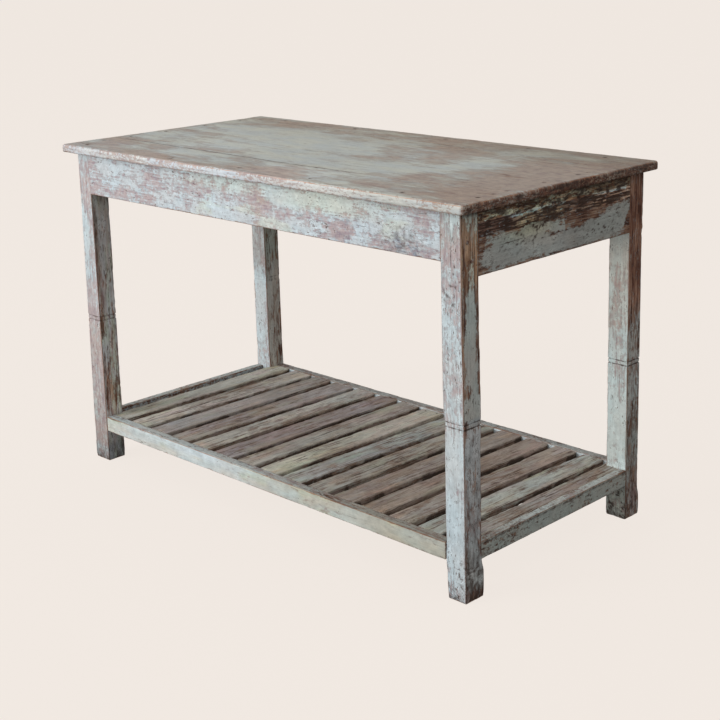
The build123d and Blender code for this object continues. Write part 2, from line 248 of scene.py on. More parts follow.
class Piece:
    """One wooden piece: a box on close grid lines, rounded, worn and displaced, with the fields its paint needs."""

    def __init__(self, name, node, axis, seed, lo, hi, step=4.0, arris=1.6, wear=1.2,
                 extra=(), edge=None, near=1.0, cross_step=None, end_r=None, low_r=None):
        self.name, self.node, self.axis, self.seed = name, node, axis, seed
        self.lo, self.hi = np.array(lo, float), np.array(hi, float)
        k = AXES[axis]
        ex = {0: [], 1: [], 2: []}
        for a, c, half in extra:
            ex[AXES[a]].append((c, half))
        lines = []
        for j in range(3):
            st = step if j == k else (cross_step or step)
            e = edge or (0.0, 0.7, 1.5, 2.4, 3.6, 5.4, 8.0)
            span = hi[j] - lo[j]
            if span < 2 * e[-1] + 2:
                e = tuple(v for v in e if v < span / 2 - 0.8)
            lines.append(spread(lo[j], hi[j], st, e, ex[j], near))
        self.G, self.F = grid_box(*lines)
        G = self.G
        n1 = fbm(G / np.array([55.0 if j == k else 18.0 for j in range(3)]), seed + 3, 3)
        n2 = fbm(G / np.array([16.0 if j == k else 9.0 for j in range(3)]), seed + 9, 2)
        r = arris * (1 + 0.55 * n1) + wear * sstep(n1 + 0.5 * n2, 0.12, 0.75) * 2.2
        if end_r is not None:  # the two ends are rounded differently from the long arrises
            de = np.minimum(G[:, k] - self.lo[k], self.hi[k] - G[:, k])
            r = r + (end_r - r) * (1 - sstep(de, end_r * 0.6, end_r * 1.6))
        if low_r is not None:  # arrises nobody has ever touched, underneath
            r = np.where(G[:, 2] < (lo[2] + hi[2]) / 2, low_r, r)
        self.r = np.maximum(r, 0.5)
        self.P, self.n, self.edge_d = round_box(G, self.lo, self.hi, self.r)
        self.k = k
        self.attrs = {}

    def undulate(self, amp=0.45, fine=0.16):
        """Hand-planed faces: slow waves, ridges along the grain, small dents and chips."""
        k = self.k
        G = self.G
        a = np.array([170.0 if j == k else 45.0 for j in range(3)])
        b = np.array([60.0 if j == k else 5.0 for j in range(3)])
        c = np.array([14.0 if j == k else 8.0 for j in range(3)])
        s = self.seed
        d = -amp * 0.5 * fbm(G / a, s + 21, 2) - fine * 0.5 * fbm(G / b, s + 33, 3)
        dents = sstep(fbm(G / c, s + 47, 2), 0.42, 0.75)
        d += 0.15 - 0.5 * dents
        # chips out of the arrises
        e = np.exp(-self.edge_d / 3.0)
        chip = sstep(fbm(G / np.array([22.0 if j == k else 8.0 for j in range(3)]), s + 61, 3), 0.25, 0.6)
        d -= 1.5 * chip * e
        self.P = self.P + self.n * d[:, None]
        self.chip = chip * e
        return self

    def groove(self, dist, depth, half):
        """Pushes the surface in along a line: dist is each point's distance from it."""
        v = np.clip(1 - np.abs(dist) / half, 0, 1)
        v = v * v * (3 - 2 * v)
        self.P = self.P - self.n * (depth * v)[:, None]
        return v

    def finish(self, material, slot, tint=(1, 1, 1), squeeze=1.0, **fields):
        P = self.P
        self.P = np.clip(P, self.limit[0], self.limit[1]) if hasattr(self, "limit") else P
        edge = np.exp(-self.edge_d / 2.6) + 0.8 * getattr(self, "chip", 0)
        attrs = {
            "gco": grain_coords(self.G, self.axis, self.seed) * np.stack([np.broadcast_to(squeeze, (len(P),)), np.ones(len(P)), np.ones(len(P))], -1),
            "edge": edge,
            "paint": fields.get("paint", np.zeros(len(P))),
            "pink": fields.get("pink", np.zeros(len(P))),
            "tone": fields.get("tone", np.zeros(len(P))),
            "dirt": fields.get("dirt", np.zeros(len(P))),
        }
        t = np.asarray(tint, float)
        attrs["tint"] = np.broadcast_to(t, (len(P), 3)).copy() if t.ndim == 1 else t
        return make_object(self.name, self.P, self.F, attrs, material, self.node)


# ---------------------------------------------------------------------------
# materials
# ---------------------------------------------------------------------------
class Tree:
    """Small helper to write node trees as formulas."""

    def __init__(self, name):
        self.mat = bpy.data.materials.new(name)
        self.mat.use_nodes = True
        self.nt = self.mat.node_tree
        self.nt.nodes.clear()

    def put(self, socket, val):
        if isinstance(val, bpy.types.NodeSocket):
            self.nt.links.new(val, socket)
        elif isinstance(val, (tuple, list)):
            socket.default_value = tuple(val) if len(val) != 3 or socket.type != "RGBA" else (*val, 1.0)
        else:
            socket.default_value = val

    def node(self, kind, **props):
        n = self.nt.nodes.new(kind)
        for k, v in props.items():
            setattr(n, k, v)
        return n

    def attr(self, name, out="Fac"):
        n = self.node("ShaderNodeAttribute", attribute_name=name)
        return n.outputs[out]

    def math(self, op, a, b=0.0, c=0.0, clamp=False):
        n = self.node("ShaderNodeMath", operation=op, use_clamp=clamp)
        for s, v in zip(n.inputs, (a, b, c)):
            self.put(s, v)
        return n.outputs[0]

    def add(self, *xs):
        out = xs[0]
        for x in xs[1:]:
            out = self.math("ADD", out, x)
        return out

    def mul(self, *xs):
        out = xs[0]
        for x in xs[1:]:
            out = self.math("MULTIPLY", out, x)
        return out

    def sub(self, a, b):
        return self.math("SUBTRACT", a, b)

    def scaled(self, vec, s):
        n = self.node("ShaderNodeVectorMath", operation="MULTIPLY")
        self.put(n.inputs[0], vec)
        self.put(n.inputs[1], s)
        return n.outputs[0]

    def noise(self, vec, scale, stretch=1.0, detail=4.0, rough=0.55, distort=0.0, shift=(0, 0, 0)):
        n = self.node("ShaderNodeMapping", vector_type="POINT")
        self.put(n.inputs["Vector"], vec)
        n.inputs["Location"].default_value = shift
        n.inputs["Scale"].default_value = (scale / stretch, scale, scale)
        m = self.node("ShaderNodeTexNoise", noise_dimensions="3D")
        self.nt.links.new(n.outputs[0], m.inputs["Vector"])
        m.inputs["Scale"].default_value = 1.0
        m.inputs["Detail"].default_value = detail
        m.inputs["Roughness"].default_value = rough
        m.inputs["Distortion"].default_value = distort
        return m.outputs["Fac"]

    def cells(self, vec, scale, stretch=1.0, shift=(0, 0, 0)):
        """(distance to the nearest random point, that point's random number)."""
        n = self.node("ShaderNodeMapping", vector_type="POINT")
        self.put(n.inputs["Vector"], vec)
        n.inputs["Location"].default_value = shift
        n.inputs["Scale"].default_value = (scale / stretch, scale, scale)
        m = self.node("ShaderNodeTexVoronoi", voronoi_dimensions="3D", feature="F1")
        self.nt.links.new(n.outputs[0], m.inputs["Vector"])
        m.inputs["Scale"].default_value = 1.0
        sep = self.node("ShaderNodeSeparateColor")
        self.nt.links.new(m.outputs["Color"], sep.inputs[0])
        return m.outputs["Distance"], sep.outputs[0]

    def smooth(self, x, lo, hi, a=0.0, b=1.0):
        n = self.node("ShaderNodeMapRange", interpolation_type="SMOOTHSTEP", clamp=True)
        for s, v in zip(n.inputs, (x, lo, hi, a, b)):
            self.put(s, v)
        return n.outputs[0]

    def lin(self, x, lo, hi, a=0.0, b=1.0):
        n = self.node("ShaderNodeMapRange", interpolation_type="LINEAR", clamp=True)
        for s, v in zip(n.inputs, (x, lo, hi, a, b)):
            self.put(s, v)
        return n.outputs[0]

    def ramp(self, x, stops):
        n = self.node("ShaderNodeValToRGB")
        el = n.color_ramp.elements
        while len(el) > 1:
            el.remove(el[-1])
        el[0].position, el[0].color = stops[0][0], (*stops[0][1], 1)
        for pos, col in stops[1:]:
            e = el.new(pos)
            e.color = (*col, 1)
        self.put(n.inputs[0], x)
        return n.outputs[0]

    def mix(self, f, a, b, blend="MIX"):
        n = self.node("ShaderNodeMix", data_type="RGBA", blend_type=blend, clamp_factor=True)
        self.put(n.inputs[0], f)
        self.put(n.inputs[6], a)
        self.put(n.inputs[7], b)
        return n.outputs[2]

    def grey(self, v):
        """A number as a colour."""
        n = self.node("ShaderNodeCombineColor")
        for s in n.inputs[:3]:
            self.put(s, v)
        return n.outputs[0]


def lin_rgb(r, g, b):
    """An sRGB colour, 0 to 255, as linear."""
    out = []
    for v in (r, g, b):
        v /= 255.0
        out.append(v / 12.92 if v <= 0.04045 else ((v + 0.055) / 1.055) ** 2.4)
    return tuple(out)


def worn_paint(name, paint_a, paint_b, pink, wood_dark, wood_mid, wood_light,
               cover=0.0, soft=0.05, patch=(16.0, 1.8), mid=(55.0, 1.6), fine=(190.0, 1.5), grain=(260.0, 20.0),
               weights=(1.0, 1.0, 0.9, 0.5), field=0.25, wash=0.5, wash_from=0.2, edge_wear=0.16, edge_col=None,
               pink_soft=0.2, pink_amt=1.0, rough_paint=0.62, rough_wood=0.86, crack=0.7, crack_amt=0.6, speck=0.5,
               film=0.28, show=0.12, use_tint=False, specular=0.3, mottle=0.25,
               crackle=0.5, nose=False, flecks=0.5, pits=0.0):
    """Old paint worn through to an undercoat and to wood, from fields stored on the mesh.

    paint: more or less top coat. pink: undercoat (1) or bare wood (0). tone: lighter or darker, in places painted light
    and shade. The grime field: grime, and in places painted shade. edge: nearness to an arris.
    """
    t = Tree(name)
    g = t.attr("gco", "Vector")
    a_paint, a_pink, a_tone = t.attr("paint"), t.attr("pink"), t.attr("tone")
    a_edge, a_dirt = t.attr("edge"), t.attr("dirt")

    def off(x):
        return t.sub(x, 0.5)

    n_a = t.noise(g, patch[0], patch[1], 3, 0.5)
    n_b = t.noise(g, mid[0], mid[1], 5, 0.66, 0.4, (3.1, 1.7, 0.3))
    n_c = t.noise(g, fine[0], fine[1], 5, 0.7, 0.0, (7.7, 0.4, 2.2))
    n_g = t.noise(g, grain[0], grain[1], 4, 0.6, 0.0, (1.3, 5.5, 0.9))
    n_h = t.noise(g, 900.0, 30.0, 3, 0.65, 0.0, (0.2, 8.8, 4.1))
    n_hue = t.noise(g, 20.0, 2.2, 3, 0.55, 0.0, (9.1, 2.2, 6.3))
    n_m = t.noise(g, 70.0, 1.4, 4, 0.65, 0.0, (2.4, 4.8, 9.9))

    raw = t.math("MULTIPLY_ADD", off(n_a), weights[0], 0.5 + cover)
    raw = t.math("MULTIPLY_ADD", off(n_b), weights[1], raw)
    if nose:  # the worn nose of the top is crumblier than its face
        a_nose = t.attr("nose")
        n_n = t.noise(g, 150.0, 1.4, 5, 0.72, 0.2, (1.9, 6.4, 3.8))
        raw = t.add(raw, t.mul(off(n_c), t.lin(a_nose, 0.0, 1.0, weights[2], 0.9)), t.mul(off(n_n), t.lin(a_nose, 0.0, 1.0, 0.0, 3.4)))
        soft = t.lin(a_nose, 0.0, 1.0, soft, 0.05)
    else:
        raw = t.math("MULTIPLY_ADD", off(n_c), weights[2], raw)
    raw = t.math("MULTIPLY_ADD", off(n_g), weights[3], raw)
    raw = t.math("MULTIPLY_ADD", a_paint, field, raw)
    # arrises are rubbed bare in places
    n_e = t.noise(g, 48.0, 3.5, 4, 0.6, 0.0, (4.4, 6.1, 8.5))
    rub = t.mul(t.smooth(t.math("MULTIPLY_ADD", n_e, 0.9, a_edge), 0.75, 1.25), edge_wear)
    raw = t.sub(raw, rub)
    m = t.smooth(raw, t.sub(0.5, soft), t.add(soft, 0.5)) if nose else t.smooth(raw, 0.5 - soft, 0.5 + soft)
    thin = t.mul(t.smooth(raw, 0.5 - wash_from, 0.5), t.smooth(n_g, 0.35, 0.62, 0.35, 1.0), wash)

    # wood under everything
    n_o = t.noise(g, 95.0, 5.0, 4, 0.62, 0.3, (6.6, 2.9, 5.7))
    gw = t.add(t.mul(n_g, 0.36), t.mul(n_h, 0.24), t.mul(n_o, 0.28), t.mul(n_hue, 0.12))
    wood = t.ramp(gw, [(0.435, wood_dark), (0.5, wood_mid), (0.565, wood_light)])
    # undercoat
    n_p = t.noise(g, 42.0, 4.0, 6, 0.66, 0.0, (5.0, 9.0, 1.0))
    pm = t.mul(t.smooth(t.math("MULTIPLY_ADD", off(n_p), 2.4, a_pink), 0.5 - pink_soft, 0.5 + pink_soft), pink_amt)
    dark_pink = (pink[0] * 0.74, pink[1] * 0.70, pink[2] * 0.78)
    light_pink = tuple(min(1.0, c * 1.2) for c in pink)
    pcol = t.ramp(t.add(t.mul(n_g, 0.35), t.mul(n_m, 0.4), t.mul(n_h, 0.25)),
                  [(0.41, dark_pink), (0.5, pink), (0.6, light_pink)])
    under = t.mix(pm, wood, pcol)
    thin = t.mul(thin, t.lin(pm, 0.0, 1.0, 0.3, 1.0))
    # top coat, not quite even
    pa = t.ramp(n_hue, [(0.38, paint_a), (0.6, paint_b)])
    k = t.math("MULTIPLY_ADD", off(n_h), show * 2.2, 1.0)
    k = t.math("MULTIPLY_ADD", off(n_g), show * 1.6, k)
    k = t.math("MULTIPLY_ADD", off(n_m), mottle * 2.0, k)
    paint = t.mix(1.0, pa, t.grey(k), "MULTIPLY")
    if use_tint == "paint":
        paint = t.mix(1.0, paint, t.attr("tint", "Color"), "MULTIPLY")
    col = t.mix(thin, under, paint)
    col = t.mix(m, col, paint)
    # a thin dark line round each flake
    rim = t.mul(m, t.sub(1.0, m), 4.0)
    col = t.mix(t.mul(rim, 0.16), col, tuple(c * 0.5 for c in wood_mid))
    # worn arrises show warm clean wood
    if edge_col:
        ec = t.mul(t.smooth(t.math("MULTIPLY_ADD", t.noise(g, 34.0, 5.0, 5, 0.65, 0.0, (2.0, 3.3, 7.1)), 1.1, a_edge), 1.12, 1.36), 0.75)
        col = t.mix(ec, col, edge_col)
    if use_tint == "all":
        col = t.mix(1.0, col, t.attr("tint", "Color"), "MULTIPLY")
    # tone (in places painted light and shade), and grime with painted shade
    tone = t.math("MULTIPLY_ADD", a_tone, 0.5, 1.0)
    col = t.mix(1.0, col, t.grey(tone), "MULTIPLY")
    n_d = t.noise(g, 90.0, 2.4, 5, 0.7, 0.0, (6.0, 1.2, 3.4))
    dm = t.smooth(t.math("MULTIPLY_ADD", off(n_d), 1.6, a_dirt), 0.2, 0.95)
    col = t.mix(t.mul(dm, 0.9), col, tuple(c * 0.26 for c in wood_mid))
    # fine checks along the grain
    n_k = t.noise(g, 250.0, 44.0, 2, 0.5, 0.35, (8.0, 0.6, 5.2))
    ck = t.smooth(n_k, crack, crack + 0.04)
    col = t.mix(t.mul(ck, crack_amt), col, tuple(c * 0.22 for c in wood_mid))
    # crazing of the old paint: short thin lines
    n_z = t.noise(g, 95.0, 2.2, 4, 0.6, 0.5, (5.5, 3.2, 8.1))
    cz = t.mul(t.smooth(t.math("ABSOLUTE", off(n_z)), 0.010, 0.003), t.smooth(t.math("MULTIPLY_ADD", a_dirt, 0.25, n_m), 0.5, 0.62))
    col = t.mix(t.mul(cz, crackle), col, tuple(c * 0.3 for c in wood_mid))
    # short dark flecks where the paint has popped off, in drifts
    n_q = t.noise(g, 210.0, 3.2, 3, 0.65, 0.0, (9.2, 5.1, 6.8))
    n_w = t.noise(g, 26.0, 2.0, 3, 0.6, 0.0, (4.9, 0.8, 2.7))
    pq = t.smooth(t.add(n_q, t.mul(off(n_w), 0.35), t.mul(a_edge, 0.055)), 0.65, 0.69)
    col = t.mix(t.mul(pq, pits, t.lin(a_dirt, -0.8, 0.0, 0.0, 1.0)), col, tuple(c * 0.34 for c in wood_mid))
    # pale crumbs of paint left in the grain of the bare wood
    n_f = t.noise(g, 330.0, 4.0, 3, 0.7, 0.0, (2.2, 7.1, 0.8))
    fl = t.mul(t.smooth(t.math("MULTIPLY_ADD", n_m, 0.25, n_f), 0.725, 0.79), t.sub(1.0, m), flecks)
    col = t.mix(fl, col, tuple(c * 0.8 for c in paint_a))
    # small dark specks and pits
    d1, r1 = t.cells(g, 75.0, 1.3, (1.0, 2.0, 3.0))
    sp = t.mul(t.smooth(d1, 0.085, 0.045), t.smooth(r1, 1.0 - speck * 0.3, 1.0 - speck * 0.3 + 0.02))
    n_s = t.noise(g, 420.0, 1.2, 3, 0.7, 0.0, (3.0, 6.0, 2.0))
    sp2 = t.mul(t.smooth(t.math("MULTIPLY_ADD", a_dirt, 0.12, n_s), 0.66, 0.72), 0.6)
    col = t.mix(t.math("MAXIMUM", t.mul(sp, 0.75), sp2), col, tuple(c * 0.22 for c in wood_mid))

    rough = t.lin(m, 0.0, 1.0, rough_wood, rough_paint)
    rough = t.math("MULTIPLY_ADD", off(n_b), 0.3, rough, clamp=True)
    # relief in millimetres
    h = t.mul(m, film)
    h = t.math("MULTIPLY_ADD", n_g, 0.45, h)
    h = t.math("MULTIPLY_ADD", n_h, 0.14, h)
    h = t.math("MULTIPLY_ADD", n_c, 0.2, h)
    h = t.sub(h, t.mul(ck, 0.5))
    h = t.sub(h, t.mul(cz, 0.25))
    h = t.sub(h, t.mul(sp, 0.5))
    b = t.node("ShaderNodeBump")
    b.inputs["Strength"].default_value = 1.0
    b.inputs["Distance"].default_value = 0.001
    t.put(b.inputs["Height"], h)

    s = t.node("ShaderNodeBsdfPrincipled")
    t.put(s.inputs["Base Color"], col)
    t.put(s.inputs["Roughness"], rough)
    t.put(s.inputs["Normal"], b.outputs[0])
    s.inputs["Specular IOR Level"].default_value = specular
    out = t.node("ShaderNodeOutputMaterial")
    t.nt.links.new(s.outputs[0], out.inputs[0])
    return t.mat


PAINT = lin_rgb(203, 215, 219)
PAINT_B = lin_rgb(203, 208, 209)
CREAMY = (1.03, 1.0, 0.88)
LILAC = (0.99, 0.97, 1.0)
PINK = lin_rgb(184, 168, 166)
W_DARK = lin_rgb(82, 56, 48)
W_MID = lin_rgb(146, 112, 96)
W_LIGHT = lin_rgb(196, 168, 150)
BROWN = lin_rgb(158, 114, 86)
ORANGE = lin_rgb(208, 144, 96)

M_FRAME = worn_paint("frame_worn_paint", PAINT, PAINT_B, PINK, W_DARK, W_MID, W_LIGHT,
                     cover=0.03, soft=0.1, weights=(0.8, 1.0, 1.6, 0.75), fine=(170.0, 2.4), mottle=0.42, show=0.22,
                     speck=0.8, crackle=0.8, crack=0.72, pits=0.8, edge_wear=0.12, edge_col=BROWN, use_tint="all", wash=0.75, wash_from=0.32)
M_TOP = worn_paint("worktop_worn_paint", lin_rgb(208, 210, 200), lin_rgb(198, 204, 202), lin_rgb(182, 166, 154),
                   lin_rgb(86, 58, 46), lin_rgb(142, 110, 94), lin_rgb(186, 160, 142),
                   soft=0.17, patch=(9.0, 2.2), mid=(34.0, 3.0), fine=(150.0, 4.0), grain=(300.0, 20.0),
                   weights=(1.0, 0.9, 0.6, 0.4), wash=0.35, edge_wear=0.1, edge_col=ORANGE,
                   rough_paint=0.46, rough_wood=0.6, film=0.06, speck=0.6, crack=0.69, mottle=0.2, show=0.22,
                   specular=0.4, crackle=0.25, nose=True, use_tint="all")
M_SHELF = worn_paint("shelf_worn_paint", lin_rgb(208, 203, 194), lin_rgb(190, 186, 178), lin_rgb(170, 152, 142),
                     lin_rgb(88, 66, 56), lin_rgb(146, 122, 106), lin_rgb(184, 162, 146),
                     soft=0.24, patch=(9.0, 2.0), mid=(44.0, 2.4), fine=(150.0, 4.0), grain=(230.0, 22.0), pits=0.45,
                     weights=(1.2, 1.3, 1.3, 1.0), wash=0.75, edge_wear=0.05, edge_col=lin_rgb(200, 190, 176),
                     rough_paint=0.68, rough_wood=0.85, film=0.2, use_tint="paint", show=0.4, mottle=0.35, crack=0.66,
                     crack_amt=0.8)
M_BARE = worn_paint("bare_wood", lin_rgb(150, 122, 98), lin_rgb(160, 132, 106), lin_rgb(140, 108, 84),
                    lin_rgb(84, 60, 46), lin_rgb(128, 98, 76), lin_rgb(160, 128, 102),
                    soft=0.2, patch=(12.0, 4.0), mid=(40.0, 14.0), fine=(170.0, 14.0), edge_wear=0.02, film=0.05,
                    rough_paint=0.8, show=0.3, crack=0.68, crackle=0.1)


def rusty_iron(name):
    t = Tree(name)
    c = t.node("ShaderNodeTexCoord").outputs["Object"]
    n = t.noise(c, 900.0, 1.0, 5, 0.6)
    n2 = t.noise(c, 260.0, 1.0, 3, 0.5, 0.0, (4.0, 1.0, 2.0))
    col = t.ramp(t.add(t.mul(n, 0.6), t.mul(n2, 0.4)),
                 [(0.38, lin_rgb(38, 30, 27)), (0.52, lin_rgb(74, 52, 42)), (0.64, lin_rgb(118, 78, 56))])
    b = t.node("ShaderNodeBump")
    b.inputs["Strength"].default_value = 0.8
    b.inputs["Distance"].default_value = 0.0004
    t.put(b.inputs["Height"], n)
    s = t.node("ShaderNodeBsdfPrincipled")
    t.put(s.inputs["Base Color"], col)
    t.put(s.inputs["Roughness"], t.lin(n2, 0.3, 0.7, 0.55, 0.9))
    t.put(s.inputs["Normal"], b.outputs[0])
    s.inputs["Metallic"].default_value = 0.35
    out = t.node("ShaderNodeOutputMaterial")
    t.nt.links.new(s.outputs[0], out.inputs[0])
    return t.mat


M_IRON = rusty_iron("rusty_iron")

# ---------------------------------------------------------------------------
# the bench
# ---------------------------------------------------------------------------
FX, FY = 588.25, 278.6


def face_dirs(n):
    """How much each point faces front, back, left, right, up and down."""
    return (np.clip(-n[:, 1], 0, 1), np.clip(n[:, 1], 0, 1), np.clip(-n[:, 0], 0, 1),
            np.clip(n[:, 0], 0, 1), np.clip(n[:, 2], 0, 1), np.clip(-n[:, 2], 0, 1))


# --- legs ------------------------------------------------------------------
SCRIBES = {"front_right": (341.0, 350.0), "front_left": (347.0, 356.0),
           "back_right": (339.0, 348.0), "back_left": (343.0, 352.0)}


def leg(name, seed):
    node = "leg_" + name
    lo, hi = node_box(node)
    zs = SCRIBES[name]
    back = name.startswith("back")
    right = name.endswith("right")
    ex = [("z", z, 5.0) for z in zs] + [("z", 56.0, 10.0), ("z", 622.0, 6.0)]
    p = Piece(node + "_worn", node, "z", seed, lo, hi, step=4.0, cross_step=4.5, arris=1.5, wear=1.0,
              extra=ex, near=0.8)
    p.undulate(0.5, 0.14)
    G, P = p.G, p.P
    z = G[:, 2]
    # the scribed lines wobble a little and bite deeper at the arrises
    e = np.exp(-p.edge_d / 5.0)
    for k, z0 in enumerate(zs):
        wob = 0.8 * vnoise(G / 14.0, seed + 70 + k)
        brk = 0.75 + 0.25 * vnoise(G / 9.0, seed + 80 + k)
        p.groove(z - z0 - wob, (1.0 + 0.7 * brk + 1.2 * e) * (0.45 if name == "back_left" else 1.0), 1.6)
    nick = np.exp(-((z - sum(zs) / 2) / 5.5) ** 2) * e
    p.P = p.P - p.n * (0.9 * nick)[:, None]
    fx = np.clip((G[:, 0] - lo[0]) / (hi[0] - lo[0]), 0, 1)
    fy = np.clip((G[:, 1] - lo[1]) / (hi[1] - lo[1]), 0, 1)
    if name == "back_right":
        # planed back behind, between foot and apron
        p.P[:, 1] -= 2.6 * sstep(z, 47.0, 65.0) * (1 - sstep(z, 618.5, 625.5)) * fy
        p.P[:, 1] += fy * (1.0 + 2.6 * (1 - sstep(z, 30.0, 62.0)))
        p.P[:, 0] -= 0.5 * (1 - fx)
    if name == "back_left":
        p.P[:, 0] += fx * (1.8 + 1.6 * (1 - sstep(z, 110.0, 160.0)))
        p.P[:, 1] += fy * 1.8
    if name == "front_right":
        # stouter above the scribed lines than below, and the foot is rubbed back inside and splayed behind
        up_ = sstep(z, 350.0, 372.0)
        p.P[:, 0] += (1 - fx) * (2.2 - 3.2 * up_) - 2.4 * fx * sstep(z, 360.0, 600.0)
        w = 1 - sstep(z, 50.0, 76.0)
        p.P[:, 0] += (2.6 * w + 1.2 * (1 - sstep(z, 10.0, 34.0))) * (1 - fx) + 0.6 * w * fx
        # behind it is a little deeper than in front, most of all half way up
        p.P[:, 1] += (2.2 + 1.4 * sstep(z, 250.0, 330.0) - 0.8 * sstep(z, 480.0, 600.0)) * fy
        p.P[:, 1] += 4.6 * w * fy
    if name == "front_left":
        # this leg leans out towards its foot
        sl = np.minimum(-5.4 + 13.5 * (z - 92.0) / 585.0, 7.0)
        sr = np.clip(-0.8 + 3.7 * (z - 166.0) / 440.0, -2.0, 2.4)
        p.P[:, 0] += sl * (1 - fx) + sr * fx
        p.P[:, 1] += 1.5 * fy
    # worn, splintered soles
    bot = np.exp(-np.maximum(z - lo[2], 0) / 6.0)
    side = np.sqrt(np.clip(1 - p.n[:, 2] ** 2, 0, 1))
    p.P = p.P - p.n * (bot * side * (1.4 + 1.2 * fbm(G / 12.0, seed + 90, 3)))[:, None]
    p.P[:, 2] = np.maximum(p.P[:, 2], lo[2])
    flat = p.n[:, 2] < -0.9
    p.P[flat, 2] = lo[2]
    fr, bk, lf, rt, up, dn = face_dirs(p.n)
    u = (G[:, 0] - lo[0]) / (hi[0] - lo[0])          # 0 left face, 1 right face
    v = (G[:, 1] - lo[1]) / (hi[1] - lo[1])          # 0 front, 1 back
    N = len(G)
    paint, pink, tone, dirt = np.zeros(N), np.zeros(N), np.zeros(N), np.zeros(N)
    X, Y, Z = None, None, None
    inner = (lf if right else rt)                     # facing the middle, along X
    scr = np.zeros(N)
    for z0 in zs:
        scr = np.maximum(scr, np.exp(-((z - z0) / 1.7) ** 2))
    tint = np.ones((N, 3))
    sole = np.exp(-z / 22.0)
    if name == "front_right":
        f_items = [
            (550, Y, 725, 9, 1, 26, 0.4), (575, Y, 722, 12, 1, 22, 0.35), (565, Y, 664, 24, 1, 24, -1.3),
            (578, Y, 700, 8, 1, 14, -0.5), (573, Y, 628, 9, 1, 30, 0.2), (549, Y, 600, 8, 1, 40, -0.3),
            (575, Y, 575, 9, 1, 60, -0.35), (553, Y, 520, 9, 1, 50, 0.3), (576, Y, 470, 7, 1, 50, 0.3),
            (570, Y, 428, 14, 1, 22, -0.7), (552, Y, 400, 8, 1, 30, 0.3), (566, Y, 372, 30, 1, 12, 0.3),
            (566, Y, 180, 40, 1, 165, 1.1), (560, Y, 262, 12, 1, 14, -0.6), (574, Y, 214, 9, 1, 12, -0.8),
            (566, Y, 12, 40, 1, 22, -0.6),
        ]
        r_items = [
            (X, -256, 662, 1, 40, 60, -1.3), (X, -252, 700, 1, 3, 60, 0.65), (X, -243, 660, 1, 3, 70, 0.45), (X, -272, 640, 1, 8, 90, -0.4), (X, -251, 585, 1, 7, 70, 0.9),
            (X, -254, 490, 1, 15, 90, 1.3), (X, -238, 545, 1, 6, 140, -0.9), (X, -276, 520, 1, 4, 90, -0.7),
            (X, -256, 418, 1, 40, 18, -0.3), (X, -258, 376, 1, 30, 26, 1.3), (X, -255, 262, 1, 24, 90, 1.2),
            (X, -276, 250, 1, 5, 180, -0.6), (X, -250, 235, 1, 7, 30, -0.5), (X, -262, 165, 1, 9, 40, -0.7),
            (X, -255, 120, 1, 22, 70, 0.5), (X, -238, 110, 1, 7, 22, -0.9), (X, -256, 48, 1, 24, 24, 0.8),
            (X, -256, 10, 1, 40, 12, -0.9), (X, -250, 735, 1, 14, 18, 0.3),
        ]
        paint = fr * (0.0 + blobs(G, f_items, seed=seed, warp=6)) + rt * (-0.15 + blobs(G, r_items, seed=seed + 2, warp=6))
        paint += (lf + bk) * 0.1
        pink = fr * 0.95 + lf * 0.5 + bk * 0.3 + rt * (0.12 + 0.35 * sstep(-z, -330, -250))
        tone = rt * (0.56 * sstep(z, 560, 620) + 0.34 * sstep(z, 352, 362) - 0.06 * np.exp(-((z - 540) / 60.0) ** 2) + 0.2 * sstep(z, 215, 240) * (1 - sstep(z, 341, 345)) + 0.62 * (1 - sstep(z, 55, 80))) + fr * (-0.02 - 0.05 * (1 - sstep(z, 120, 230)) - 0.15 * (1 - sstep(z, 225, 260)) * sstep(z, 90, 120) - 0.05 * sstep(z, 560, 680))
        # darker at the top of the leg, right under the worktop: painted shade
        dirt = rt * (0.15 + 0.35 * (1 - sstep(z, 20, 120)) + 0.22 * (1 - sstep(z, 300, 345))) + 0.75 * sstep(z, 724, 743) * (rt + 0.25 * fr)
        dirt += fr * (0.45 * sole + 0.12 * (1 - sstep(z, 90, 150)))
        flecks = sstep(fbm(G / np.array([3.2, 3.2, 6.0]), seed + 77, 2), 0.24, 0.5)
        dirt += fr * 0.6 * flecks * (np.exp(-((z - 590) / 50.0) ** 2) + 0.8 * (1 - sstep(z, 70, 120)) + 0.5 * np.exp(-((z - 460) / 40.0) ** 2))
        dirt += rt * 0.3 * flecks * (1 - sstep(z, 60, 110))
        tint = tinted(N, (fr * sstep(z, 660, 700), (1.0, 1.0, 0.96)), (rt * (1 - sstep(z, 345, 352)), (1.04, 0.985, 0.955)),
                      (rt * sstep(z, 352, 362), (1.03, 1.01, 0.93)), (rt * np.exp(-((z - 650) / 40.0) ** 2), (1.04, 0.97, 0.91)), (rt * sstep(z, 590, 620), (0.98, 1.0, 0.96)),
                      (rt * sstep(z, 100, 140) * (1 - sstep(z, 330, 345)), (1.08, 1.1, 1.13)), (rt * (1 - sstep(z, 50, 75)), (1.1, 1.1, 1.08)), (rt * sstep(z, 352, 362) * (1 - sstep(z, 470, 500)), (0.95, 0.91, 0.91)),
                      (fr * (1 - sstep(z, 100, 330)), (0.965, 0.97, 0.985)))
    elif name == "front_left":
        f_items = [
            (-566, Y, 670, 30, 1, 60, -1.1), (-556, Y, 735, 12, 1, 12, 0.3), (-580, Y, 700, 5, 1, 40, 0.5), (-578, Y, 560, 12, 1, 90, 0.8),
            (-553, Y, 560, 9, 1, 60, -0.35), (-565, Y, 470, 30, 1, 22, 0.1), (-565, Y, 400, 40, 1, 45, -0.8),
            (-565, Y, 250, 40, 1, 110, -1.2), (-556, Y, 190, 7, 1, 60, 0.25), (-565, Y, 100, 30, 1, 50, -0.9),
            (-565, Y, 20, 30, 1, 40, -0.5),
        ]
